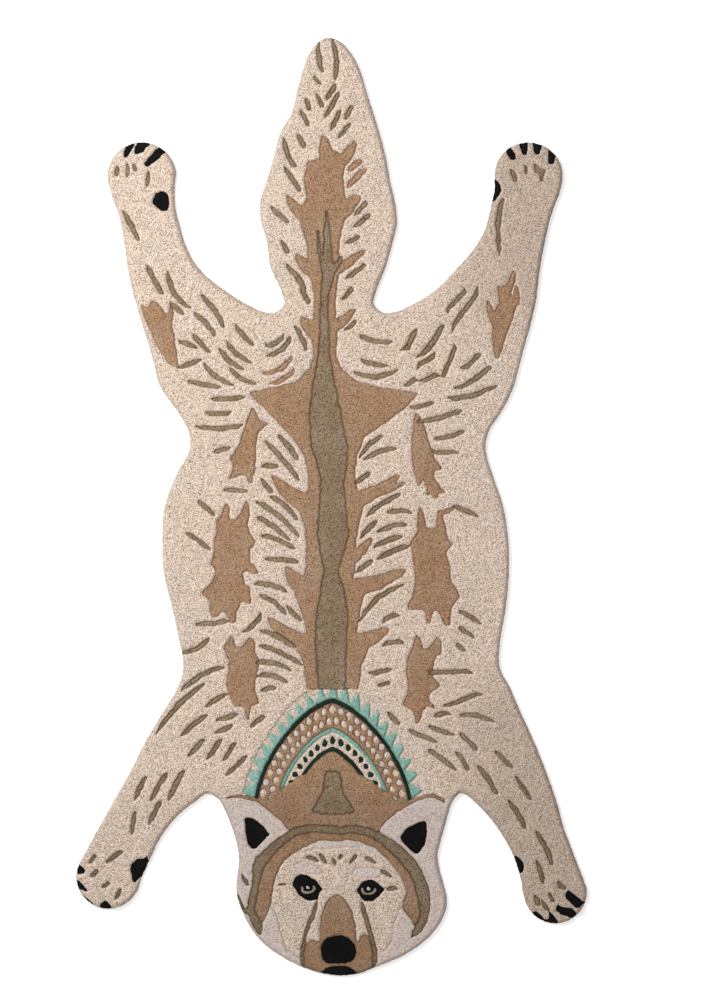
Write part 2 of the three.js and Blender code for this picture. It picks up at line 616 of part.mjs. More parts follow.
// A collar of low pile round the neck, as an arch open towards the head: half its width at each y
const COLLAR_X = 3;
const COLLAR = [
  { y: -297, half: 0 },
  { y: -308, half: 34 },
  { y: -340, half: 76 },
  { y: -390, half: 112 },
  { y: -440, half: 140 },
  { y: -492, half: 156 },
];
const COLLAR_MOUTH = 104; // half its width where it meets the head
const COLLAR_STEPS = 14;
// The olive stripe that ends the coat's middle line on the crown, wider towards the brow
const CROWN_STRIPE = [
  { y: -452, left: -10, right: 15 },
  { y: -486, left: -15, right: 21 },
  { y: -520, left: -34, right: 41 },
  { y: -525, left: -8, right: 16 },
];

const rad = THREE.MathUtils.degToRad;
const lerp = THREE.MathUtils.lerp;

/** A hand's unevenness: a repeatable number from -1 to 1 for each whole number. */
function hand(n) {
  const mixed = Math.imul((n + 1) ^ 0x5bd1e995, 2654435761) >>> 0;
  return ((mixed ^ (mixed >>> 15)) % 2001) / 1000 - 1;
}

/** A point at an angle, in degrees, on an oval that is itself turned. */
function onOval({ x, y, halfWide, halfHigh, turn = 0 }, angle, reach = 1) {
  return new THREE.Vector2(halfWide * reach * Math.cos(rad(angle)), halfHigh * reach * Math.sin(rad(angle)))
    .rotateAround(new THREE.Vector2(), rad(turn))
    .add(new THREE.Vector2(x, y));
}

const side = (rows, name) => rows.map((row) => new THREE.Vector2(row[name], row.y));
const corners = (pairs) => pairs.map(([x, y]) => new THREE.Vector2(x, y));

/** The points of a paw's arc, from the leg's inner side to its outer side. */
function pawArc({ x, y, radius, from, to }, steps = 7) {
  const paw = { x, y, halfWide: radius, halfHigh: radius };
  return Array.from({ length: steps + 1 }, (_, i) => onOval(paw, lerp(from, to, i / steps)));
}

/** The rug's edge as one closed outline, clockwise from the tip of the tail. */
function edge() {
  const right = [
    ...side(TAIL, 'right'),
    ...side(HIND_LEG_INNER, 'right'),
    ...pawArc(PAWS.hindRight),
    ...side(HIND_LEG_OUTER, 'right'),
    ...side(FLANK, 'right'),
    ...side(FORE_LEG_OUTER, 'right'),
    ...pawArc({ ...PAWS.foreRight, from: PAWS.foreRight.to - 360, to: PAWS.foreRight.from - 360 }),
    ...side(FORE_LEG_INNER, 'right'),
    ...side(HEAD, 'right'),
  ];
  const left = [
    ...side(TAIL, 'left').slice(1),
    ...side(HIND_LEG_INNER, 'left'),
    ...pawArc(PAWS.hindLeft),
    ...side(HIND_LEG_OUTER, 'left'),
    ...side(FLANK, 'left'),
    ...side(FORE_LEG_OUTER, 'left'),
    ...pawArc({ ...PAWS.foreLeft, from: PAWS.foreLeft.to, to: PAWS.foreLeft.from }),
    ...side(FORE_LEG_INNER, 'left'),
    ...side(HEAD, 'left'),
  ];
  const round = [...right, new THREE.Vector2(CHIN.x, CHIN.y), ...left.reverse()];
  const curve = new THREE.CatmullRomCurve3(round.map((p) => new THREE.Vector3(p.x, p.y, 0)), true);
  curve.arcLengthDivisions = 4000;
  const points = curve.getSpacedPoints(OUTLINE_STEPS).slice(0, -1);
  return points.map((p) => new THREE.Vector2(p.x, p.y));
}

/** Smooth points through a few given ones. */
function smooth(points, steps) {
  const curve = new THREE.CatmullRomCurve3(points.map((p) => new THREE.Vector3(p.x, p.y, 0)));
  return curve.getPoints(steps).map((p) => new THREE.Vector2(p.x, p.y));
}

/** A three.js geometry as a solid that can be cut. */
function solid(geometry) {
  geometry.deleteAttribute('normal');
  geometry.deleteAttribute('uv');
  const merged = mergeVertices(geometry, 1e-4);
  return new wasm.Manifold(
    new wasm.Mesh({
      numProp: 3,
      vertProperties: new Float32Array(merged.attributes.position.array),
      triVerts: new Uint32Array(merged.index.array),
    }),
  );
}

/** A block of that outline that removes the pile above what a yarn is sheared to. */
function block(outline, yarn) {
  const depth = SHEARED[yarn];
  const geometry = new THREE.ExtrudeGeometry(new THREE.Shape(outline), {
    depth: depth + CUT_OVER,
    bevelEnabled: false,
  });
  geometry.translate(0, 0, THICKNESS - depth);
  return solid(geometry);
}

/** A fur mark: a curved sliver with pointed ends. bend bows it, and wave gives it an S. */
function mark({ x, y, turn, length, bend = 0, wave = 0, width = MARK_WIDTH }) {
  const stations = length > LONG_MARK ? [-0.66, 0, 0.66] : [-0.5, 0.5];
  const at = (t, across) =>
    new THREE.Vector2((length * t) / 2, bend * (1 - t * t) + wave * Math.sin(Math.PI * t) + across)
      .rotateAround(new THREE.Vector2(), rad(turn))
      .add(new THREE.Vector2(x, y));
  const half = (t) => (width / 2) * (1 - 0.3 * t * t);
  return [
    at(-1, 0),
    ...stations.map((t) => at(t, -half(t))),
    at(1, 0),
    ...stations.reverse().map((t) => at(t, half(t))),
  ];
}

/** A row's value part of the way along it, where the row gives one value or a first and a last. */
const partWay = (value, t) => (Array.isArray(value) ? lerp(value[0], value[1], t) : value);

/** The marks of a row, each a little uneven: by a millimetre, two degrees and a twenty-fifth in length. */
function marksOf(row, rowNumber) {
  const { from = row.at, to = row.at, count = 1 } = row;
  return Array.from({ length: count }, (_, i) => {
    const t = count > 1 ? i / (count - 1) : 0;
    const seed = 5 * (8 * rowNumber + i);
    return mark({
      x: lerp(from[0], to[0], t) + hand(seed),
      y: lerp(from[1], to[1], t) + hand(seed + 1),
      turn: partWay(row.turn, t) + 2 * hand(seed + 2),
      length: partWay(row.length, t) * MARK_POINTS * (1 + 0.04 * hand(seed + 3)),
      bend: row.bend * MARK_POINTS ** 2,
      wave: row.wave,
      width: row.width,
    });
  });
}

/** A claw: a wedge with a blunt inner end, soon almost as wide as at the rim. */
function claw({ x, y, turn, reach, inner, outer }) {
  const at = (along, width) =>
    new THREE.Vector2(along * reach, width / 2)
      .rotateAround(new THREE.Vector2(), rad(turn))
      .add(new THREE.Vector2(x, y));
  const shoulder = lerp(inner, outer, 0.7);
  return [at(0, -inner), at(0.35, -shoulder), at(1, -outer), at(1, outer), at(0.35, shoulder), at(0, inner)];
}

/** A closed outline from a table of half sections, down its right side and up its left. */
const strip = (rows) => [...side(rows, 'right'), ...side(rows, 'left').reverse()];

/** A prong: a spike with a blunt point, slightly hooked towards the tail. */
function prong({ x, y, reach, turn, root }) {
  const hook = Math.cos(rad(turn)) < 0 ? -1 : 1;
  const bow = hook * PRONG_HOOK * reach;
  const at = (along, across) =>
    new THREE.Vector2(along * reach, across * root - bow * Math.sin(Math.PI * along))
      .rotateAround(new THREE.Vector2(), rad(turn))
      .add(new THREE.Vector2(x, y));
  return [
    at(0, -0.5), at(0.45, -0.38), at(0.84, -0.22), at(1, 0),
    at(0.84, 0.18), at(0.45, 0.36), at(0, 0.5),
  ];
}

/** One band round the face, between two distances from their middle that each row gives. */
function band(rows, outside, inside) {
  const along = (distance) => {
    const points = rows.map((row) => {
      const radius = distance(row);
      return onOval({ ...BANDS_MIDDLE, halfWide: radius, halfHigh: radius }, row.angle);
    });
    return smooth(points, BAND_STEPS);
  };
  return [...along(outside), ...along(inside).slice(1, -1).reverse()];
}

/** A narrow line of even width with pointed ends, through given points. */
function line({ width, through }) {
  const middle = smooth(corners(through), LINE_STEPS);
  const edges = middle.slice(1, -1).map((p, i) => {
    const along = middle[i + 2].clone().sub(middle[i]).normalize();
    const across = new THREE.Vector2(-along.y, along.x).multiplyScalar(width / 2);
    return [p.clone().add(across), p.clone().sub(across)];
  });
  return [middle[0], ...edges.map((e) => e[0]), middle[LINE_STEPS], ...edges.map((e) => e[1]).reverse()];
}

/** An oval with that many corners. */
const oval = (row, steps = 12) => Array.from({ length: steps }, (_, i) => onOval(row, (360 * i) / steps));

/** A nose: round above, and squarer below. */
function nose(row, steps = 20) {
  const square = (v, roundness) => Math.sign(v) * Math.abs(v) ** roundness;
  return Array.from({ length: steps }, (_, i) => {
    const angle = (2 * Math.PI * i) / steps;
    const up = Math.sin(angle);
    const roundness = up > 0 ? row.above : row.below;
    return new THREE.Vector2(
      row.x + row.halfWide * square(Math.cos(angle), roundness),
      row.y + row.halfHigh * square(up, roundness),
    );
  });
}

/** The collar's outline, as a whole arch: the crown's deeper hollow leaves an even band of it. */
function collarArch() {
  const right = smooth(COLLAR.map(({ y, half }) => new THREE.Vector2(COLLAR_X + half, y)), COLLAR_STEPS);
  const left = right.slice(1).map((p) => new THREE.Vector2(2 * COLLAR_X - p.x, p.y));
  const inner = corners([[COLLAR_X + COLLAR_MOUTH, -510], [COLLAR_X - COLLAR_MOUTH, -508]]);
  return [...left.reverse(), ...right, ...inner];
}

/** Everything that each yarn takes from the pile, as one solid for each yarn. */
function sheared() {
  const blocks = { rose: [], collar: [], tan: [], black: [], olive: [] };
  const add = (yarn, outline) => blocks[yarn].push(block(outline, yarn));

  MARK_ROWS.forEach((row, n) => marksOf(row, n).forEach((outline) => add(row.yarn ?? 'olive', outline)));
  CLAWS.forEach((row) => add('black', claw(row)));
  PADS.forEach((pairs) => add('black', corners(pairs)));

  add('tan', strip(BACK));
  PRONGS.forEach((row) => add('tan', prong(row)));
  for (const blotch of BLOTCHES) {
    add('tan', strip(blotch.rows));
    blotch.horns.forEach((row) => add('tan', prong(row)));
  }
  add('olive', strip(SPINE));
  SPINE_FORKS.forEach((row) => add('olive', prong(row)));

  add('olive', band(BANDS, (row) => row.outer, (row) => row.seam));
  // the tan band starts in the middle of the deeper olive one
  add('tan', band(BANDS.slice(1, -1), (row) => lerp(row.outer, row.seam, 0.5), (row) => row.inner));
  LINES.forEach((row) => add(row.yarn, line(row)));
  add('tan', corners(BRIDGE));
  add('tan', corners(MUZZLE));
  add('tan', corners(CROWN));
  add('olive', strip(CROWN_STRIPE));
  [...EYES, ...EAR_HOLLOWS].forEach((pairs) => add('black', corners(pairs)));
  add('black', nose(NOSE));
  add('black', oval(MOUTH, 18));
  add('collar', collarArch());
  BROWS.forEach((row) => add('rose', oval(row, 10)));

  const joined = {};
  for (const [yarn, list] of Object.entries(blocks)) joined[yarn] = wasm.Manifold.union(list);
  // the ears and cheeks go round the face, which keeps its fur
  const smoothHead = block(corners(EARS_AND_CHEEKS), 'rose').subtract(block(corners(FACE), 'rose'));
  joined.rose = joined.rose.add(smoothHead);
  return joined;
}

/** The rug: a slab with a rolled upper rim, sheared lower for each yarn. */
function rug() {
  const slab = new THREE.ExtrudeGeometry(new THREE.Shape(edge()), {
    depth: THICKNESS - RIM_ROUND,
    bevelThickness: RIM_ROUND,
    bevelSize: RIM_ROUND,
    bevelOffset: -RIM_ROUND,
    bevelSegments: RIM_STEPS,
  });
  // the roll is only above: whatever reaches below the floor goes
  const under = new THREE.BoxGeometry(2000, 2000, 100);
  under.translate(0, 0, -50);
  let body = solid(slab).subtract(solid(under));
  for (const cut of Object.values(sheared())) body = body.subtract(cut);

  const { vertProperties, triVerts } = body.getMesh();
  const geometry = new THREE.BufferGeometry();
  geometry.setAttribute('position', new THREE.BufferAttribute(new Float32Array(vertProperties), 3));
  geometry.setIndex(new THREE.BufferAttribute(new Uint32Array(triVerts), 1));
  geometry.computeVertexNormals();
  return geometry;
}

const mesh = new THREE.Mesh(
  rug(),
  new THREE.MeshStandardMaterial({ color: new THREE.Color(0xdcc9b4), roughness: 0.95, metalness: 0 }),
);
mesh.name = 'rug';

const model = new THREE.Group();
model.add(mesh);

export default model;
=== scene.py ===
"""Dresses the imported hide-shaped rug: tufted pile in its dyed yarns, a woven backing and a plain studio."""

import logging
import math
from dataclasses import dataclass, field
from enum import Enum
from typing import Any, Iterator

import bpy
import numpy as np
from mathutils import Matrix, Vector


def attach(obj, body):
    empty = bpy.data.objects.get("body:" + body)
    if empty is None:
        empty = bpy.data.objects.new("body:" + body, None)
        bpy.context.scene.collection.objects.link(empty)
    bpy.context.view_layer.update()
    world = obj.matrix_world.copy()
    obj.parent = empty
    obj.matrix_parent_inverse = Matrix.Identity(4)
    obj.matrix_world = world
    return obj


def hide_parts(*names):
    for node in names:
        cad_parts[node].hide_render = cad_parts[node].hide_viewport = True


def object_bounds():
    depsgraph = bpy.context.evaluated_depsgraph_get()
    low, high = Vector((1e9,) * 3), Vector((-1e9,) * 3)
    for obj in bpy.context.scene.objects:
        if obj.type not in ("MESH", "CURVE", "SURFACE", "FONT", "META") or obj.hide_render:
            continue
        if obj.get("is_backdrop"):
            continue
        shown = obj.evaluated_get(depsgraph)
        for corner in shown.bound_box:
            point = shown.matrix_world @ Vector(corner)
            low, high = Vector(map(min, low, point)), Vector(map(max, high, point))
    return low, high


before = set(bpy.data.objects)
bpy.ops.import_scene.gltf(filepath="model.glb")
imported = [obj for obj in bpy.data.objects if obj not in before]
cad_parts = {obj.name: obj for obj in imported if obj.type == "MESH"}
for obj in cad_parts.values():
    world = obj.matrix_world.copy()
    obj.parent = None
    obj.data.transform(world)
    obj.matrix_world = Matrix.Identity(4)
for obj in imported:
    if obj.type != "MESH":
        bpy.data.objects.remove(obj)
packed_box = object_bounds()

log = logging.getLogger("hide_rug")

MM = 0.001
NODE = "rug"


class Yarn(Enum):
    """The dyed yarns, numbered as they are in the yarn plan."""

    CREAM = 0
    ROSE = 1
    TAN = 2
    OLIVE = 3
    BLACK = 4
    MINT = 5
    GREEN = 6
    HONEY = 7
    COLLAR_BED = 8


# Height of each yarn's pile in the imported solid, in millimetres above the floor
SHORN_TO = {
    Yarn.CREAM: 15.0,
    Yarn.ROSE: 13.5,
    Yarn.COLLAR_BED: 12.0,
    Yarn.TAN: 11.0,
    Yarn.BLACK: 10.5,
    Yarn.OLIVE: 10.0,
}
BATCH = 1500  # points that are measured against the edge at a time
BARE = -1  # a cell of the plan with no pile
RIM = -2  # a cell on the rounded rim, before it takes the yarn beside it


# ---------------------------------------- shader sockets


class Wire:
    """One output of a shader node, with Python's operators for the maths between outputs."""

    def __init__(self, shader: "Shader", socket: bpy.types.NodeSocket | None) -> None:
        """Keeps the socket and the shader it belongs to."""
        self.shader = shader
        self.socket = socket

    def __add__(self, other: "Wire | float") -> "Wire":
        """Sum."""
        return self.shader.maths("ADD", self, other)

    def __sub__(self, other: "Wire | float") -> "Wire":
        """Difference."""
        return self.shader.maths("SUBTRACT", self, other)

    def __rsub__(self, other: "Wire | float") -> "Wire":
        """Difference, with the number first."""
        return self.shader.maths("SUBTRACT", other, self)

    def __mul__(self, other: "Wire | float") -> "Wire":
        """Product."""
        return self.shader.maths("MULTIPLY", self, other)

    __radd__ = __add__
    __rmul__ = __mul__

    def at_most(self, limit: "Wire | float") -> "Wire":
        """The smaller of this and the limit."""
        return self.shader.maths("MINIMUM", self, limit)

    def at_least(self, limit: "Wire | float") -> "Wire":
        """The larger of this and the limit."""
        return self.shader.maths("MAXIMUM", self, limit)

    def share(self) -> "Wire":
        """It held between 0 and 1."""
        return self.at_least(0.0).at_most(1.0)

    def wave(self) -> "Wire":
        """Its sine."""
        return self.shader.maths("SINE", self)

    def size(self) -> "Wire":
        """It without its sign."""
        return self.shader.maths("ABSOLUTE", self)


class Shader:
    """A material's node tree, filled through one method for nodes and one for maths."""

    def __init__(self, name: str) -> None:
        """Starts an empty material.

        Args:
            name: the material's name.
        """
        self.material = bpy.data.materials.new(name)
        self.material.use_nodes = True
        self.tree = self.material.node_tree
        self.tree.nodes.clear()

    def node(
        self,
        kind: str,
        settings: dict[str, Any] | None = None,
        sockets: dict[str | int, Any] | None = None,
        out: str | int = 0,
    ) -> Wire:
        """Adds a node.

        Args:
            kind: the node's type.
            settings: its settings, which are set first.
            sockets: a value or a Wire for each of its inputs by name or number.
            out: the output that is wanted.

        Returns:
            That output, empty for a node that has none.
        """
        made = self.tree.nodes.new(kind)
        for name, value in (settings or {}).items():
            setattr(made, name, value)
        for key, value in (sockets or {}).items():
            if isinstance(value, Wire):
                self.tree.links.new(value.socket, made.inputs[key])
            else:
                made.inputs[key].default_value = value
        return Wire(self, made.outputs[out] if made.outputs else None)

    def maths(self, operation: str, *values: "Wire | float") -> Wire:
        """The result of a Math node's operation on numbers."""
        return self.node("ShaderNodeMath", {"operation": operation}, dict(enumerate(values)))

    def blend(self, share: "Wire | float", first: Any, second: Any, way: str = "MIX") -> Wire:
        """A mix of two colours with a share of the second, blended in one of the Mix node's ways."""
        settings = {"data_type": "RGBA", "blend_type": way, "clamp_factor": True}
        return self.node("ShaderNodeMix", settings, {0: share, 6: first, 7: second}, out=2)

    def measure(self, name: str) -> Wire:
        """A number stored on the mesh's points."""
        return self.node("ShaderNodeAttribute", {"attribute_name": name}, out="Fac")

    def grain(self, size: float, detail: float = 2.0, warp: float = 0.0) -> Wire:
        """Noise from 0 to 1 with blotches of a size.

        Args:
            size: width of the blotches in metres.
            detail: how many finer layers it has.
            warp: how much it is drawn out of shape.

        Returns:
            The noise.
        """
        place = self.node("ShaderNodeTexCoord", out="Object")
        sockets = {"Vector": place, "Scale": 1 / size, "Detail": detail, "Distortion": warp}
        return self.node("ShaderNodeTexNoise", sockets=sockets, out="Fac")

    def tufts(self, size: float) -> Wire:
        """Chance tones from 0 to 1, one for each tuft of this width in metres."""
        sockets = {"Vector": self.node("ShaderNodeTexCoord", out="Object"), "Scale": 1 / size}
        return self.node("ShaderNodeTexVoronoi", sockets=sockets, out="Color")

    def finish(self, sockets: dict[str, Any]) -> bpy.types.Material:
        """Closes the tree with the surface shader.

        Args:
            sockets: a value or a Wire for each of its inputs by name.

        Returns:
            The material.
        """
        surface = self.node("ShaderNodeBsdfPrincipled", sockets=sockets)
        self.node("ShaderNodeOutputMaterial", sockets={"Surface": surface})
        return self.material


def dye(code: str) -> tuple[float, float, float, float]:
    """A colour as the shader takes it.

    Args:
        code: six hexadecimal digits, as a screen shows the colour.

    Returns:
        Red, green, blue and alpha in linear light.
    """
    shown = [int(code[i : i + 2], 16) / 255 for i in (0, 2, 4)]
    linear = [v / 12.92 if v <= 0.04045 else ((v + 0.055) / 1.055) ** 2.4 for v in shown]
    return (*linear, 1.0)


# ---------------------------------------- noise and tufts


HILLS = 256  # rows and columns of the unevenness before it repeats, a power of two
CASTS = 512  # rows and columns of tufts before they repeat, a power of two


def swell(x: np.ndarray, y: np.ndarray, wavelength: float, seed: int) -> np.ndarray:
    """Smooth unevenness.

    Args:
        x: places across, in metres.
        y: places along, in metres.
        wavelength: distance between its hills.
        seed: picks the pattern.

    Returns:
        Numbers from -1 to 1.
    """
    table = np.random.default_rng(seed).uniform(-1, 1, (HILLS, HILLS))
    u, v = x / wavelength, y / wavelength
    column, row = np.floor(u).astype(int), np.floor(v).astype(int)
    s, t = u - column, v - row
    s, t = s * s * (3 - 2 * s), t * t * (3 - 2 * t)
    left, right = column % HILLS, (column + 1) % HILLS
    low, high = (table[n % HILLS, left] * (1 - s) + table[n % HILLS, right] * s for n in (row, row + 1))
    return low * (1 - t) + high * t


def blur(grid: np.ndarray, passes: int) -> np.ndarray:
    """Evens out a grid of numbers.

    Args:
        grid: the numbers.
        passes: how many times each is averaged with its neighbours.

    Returns:
        The evened grid.
    """
    for _ in range(passes):
        for axis in (0, 1):
            grid = 0.5 * grid + 0.25 * (np.roll(grid, 1, axis) + np.roll(grid, -1, axis))
    return grid


@dataclass(frozen=True)
class TuftRows:
    """Tufts set in staggered rows, each a little off its place. Lengths are in metres."""

    across: float
    along: float
    stray: float
    seed: int

    def read(self, x: np.ndarray, y: np.ndarray) -> tuple[np.ndarray, np.ndarray, np.ndarray]:
        """Finds the tuft under each place.

        Args:
            x: places across.
            y: places along.

        Returns:
            Distance from the tuft's middle and from the gap to the next tuft, both as shares of the
            spacing, and the tuft's luck from -1 to 1.
        """
        # Each tuft's stray across, its stray along and its luck
        casts = np.random.default_rng(self.seed).uniform(-1, 1, (3, CASTS, CASTS))
        near = np.full(x.shape, np.inf)
        second, luck = near.copy(), np.zeros(x.shape)
        for row_step in (-1, 0, 1):
            row = np.floor(y / self.along).astype(int) + row_step
            shift = 0.5 * (row % 2)
            for step in (-1, 0, 1):
                column = np.floor(x / self.across - shift).astype(int) + step
                aside, ahead, chance = casts[:, row % CASTS, column % CASTS]
                off_x = (column + shift + 0.5 + aside * self.stray) * self.across - x
                off_y = (row + 0.5 + ahead * self.stray) * self.along - y
                distance = np.hypot(off_x, off_y) / self.across
                closer = distance < near
                second = np.where(closer, near, np.minimum(second, distance))
                luck = np.where(closer, chance, luck)
                near = np.where(closer, distance, near)
        return near, second - near, luck


# ---------------------------------------- finishes


@dataclass(frozen=True)
class PileFinish:
    """How one yarn's pile looks: its colours, its tufts and how far they stand up."""

    slot: str
    tip: str  # colour of the tufts' ends
    root: str  # colour down between the tufts, toward which the painted shade blends
    cast: str  # a second tint, in soft patches
    edge: str  # colour where it is carved along another yarn: painted groove shade, or for the cream a pale halo, partly painted highlight
    tufts: TuftRows
    crown: float  # m, how far a tuft's middle stands over its edge
    uneven: float  # m, how much tufts differ in height
    speckle: float  # share by which tufts differ in tone
    curl: float  # m, width of the curls of yarn
    dark: float  # painted shade: how dark the gaps between tufts and between curls are
    fuzz: float  # how much light its loose fibres catch
    full_light: float = 1.15  # the light on a tuft's end; past 1 it is as pale as the tip
    fibre: float = 0.0016  # m, width of its loose fibres
    fibre_light: float = 3.0  # how strongly they show
    patch: float = 0.055  # m, width of the soft patches
    patch_most: float = 0.35
    rim_painted_shade: float = 0.3  # painted shade: how much darker the rounded rim is
    carved: float = 0.9  # how fully a carved line takes the edge's colour, its painted groove shade or pale halo

    def material(self) -> bpy.types.Material:
        """The yarn's material.

        Returns:
            A matt, fuzzy surface whose colour follows tufts, curls, fibres and soft patches, with painted
            shade in gaps, on the rim and in grooves.
        """
        shader = Shader(self.slot)
        gap, rim, groove_shade_and_halo, shade = (shader.measure(name) for name in ("gap", "rim", "groove_shade_and_halo", "shade"))
        fibre = shader.grain(self.fibre, 1.0, 0.3)
        curls = ((shader.grain(self.curl * 2, 1.0, 1.4) - 0.5).size() * 7).at_most(1.0)
        # the tufts' own tones and fibres, less painted shade in the gaps between tufts and between curls
        lit = self.full_light + (shader.tufts(self.curl) - 0.5) * self.speckle
        lit = lit - (1 - gap) * self.dark - (1 - curls) * self.dark + (fibre - 0.5) * self.fibre_light
        colour = shader.blend(lit.share(), dye(self.root), dye(self.tip))
        patches = (shader.grain(self.patch, 2.0) * 1.6 - 0.55).at_least(0.0).at_most(self.patch_most)
        colour = shader.blend(patches, colour, dye(self.cast), "SOFT_LIGHT")
        # painted shade on the rounded rim and from the shade measure, then painted groove shade or pale halo
        # along carved lines
        colour = shader.blend((rim * self.rim_painted_shade + shade).share(), colour, dye(self.root))
        colour = shader.blend(groove_shade_and_halo * self.carved, colour, dye(self.edge))
        height = fibre * 0.35 + curls * 0.8
        sockets = {"Strength": 0.7, "Distance": 0.0008, "Height": height}
        relief = shader.node("ShaderNodeBump", sockets=sockets)
        return shader.finish(
            {
                "Roughness": 0.95,
                "Specular IOR Level": 0.1,
                "Sheen Weight": self.fuzz,
                "Sheen Roughness": 0.55,
                "Base Color": colour,
                "Normal": relief,
            }
        )


CURLED = TuftRows(across=0.0032, along=0.003, stray=0.42, seed=11)
DENSE = TuftRows(across=0.0029, along=0.0031, stray=0.25, seed=12)
SMOOTH = TuftRows(across=0.0029, along=0.0029, stray=0.35, seed=13)

# Yarn: slot and the colours of tip, root, cast and edge; tufts; crown, uneven, speckle, curl, dark, fuzz
FINISH_ROWS = {
    Yarn.CREAM: ("fur_pile F6E3D3 745A46 E2CBB3 EFE1D1", CURLED, 0.0013, 0.0004, 0.6, 0.0017, 0.5, 0.2),
    Yarn.ROSE: ("rose_pile F1E5DB 97807A D2BFB5 CDBDB4", SMOOTH, 0.0006, 0.0003, 0.7, 0.0019, 0.4, 0.15),
    Yarn.TAN: ("tan_pile C2A183 5E4431 AC8C71 55402E", DENSE, 0.0007, 0.0003, 0.7, 0.0022, 0.48, 0.12),
    Yarn.OLIVE: ("olive_pile AB977C 473A2C 87745C 382D20", DENSE, 0.0007, 0.0003, 0.6, 0.0022, 0.44, 0.1),
    Yarn.BLACK: ("black_pile 1D1D1F 070708 121214 08080A", DENSE, 0.0006, 0.0003, 0.4, 0.0022, 0.3, 0.0),
    Yarn.MINT: ("mint_pile A3C9BC 4A7166 8DB6A5 45695E", DENSE, 0.0007, 0.0003, 0.5, 0.0022, 0.4, 0.15),
    Yarn.GREEN: ("green_pile 2A3E34 0D1511 233229 0C1310", DENSE, 0.0007, 0.0003, 0.4, 0.0022, 0.3, 0.03),
    Yarn.HONEY: ("honey_pile C6BAA9 8A7C6A B3A48F 7A6A56", DENSE, 0.0004, 0.0002, 0.2, 0.0022, 0.3, 0.1),
}
FINISHES = {yarn: PileFinish(*names.split(), *rest) for yarn, (names, *rest) in FINISH_ROWS.items()}


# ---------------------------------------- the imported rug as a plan


def corners_of(piece: bpy.types.Object) -> np.ndarray:
    """The triangles of an object, in metres.

    Args:
        piece: a mesh object.

    Returns:
        Points by triangle, corner and axis.
    """
    mesh = piece.data
    mesh.calc_loop_triangles()
    points = np.empty(len(mesh.vertices) * 3)
    mesh.vertices.foreach_get("co", points)
    corners = np.empty(len(mesh.loop_triangles) * 3, dtype=np.int64)
    mesh.loop_triangles.foreach_get("vertices", corners)
    return points.reshape(-1, 3)[corners.reshape(-1, 3)]


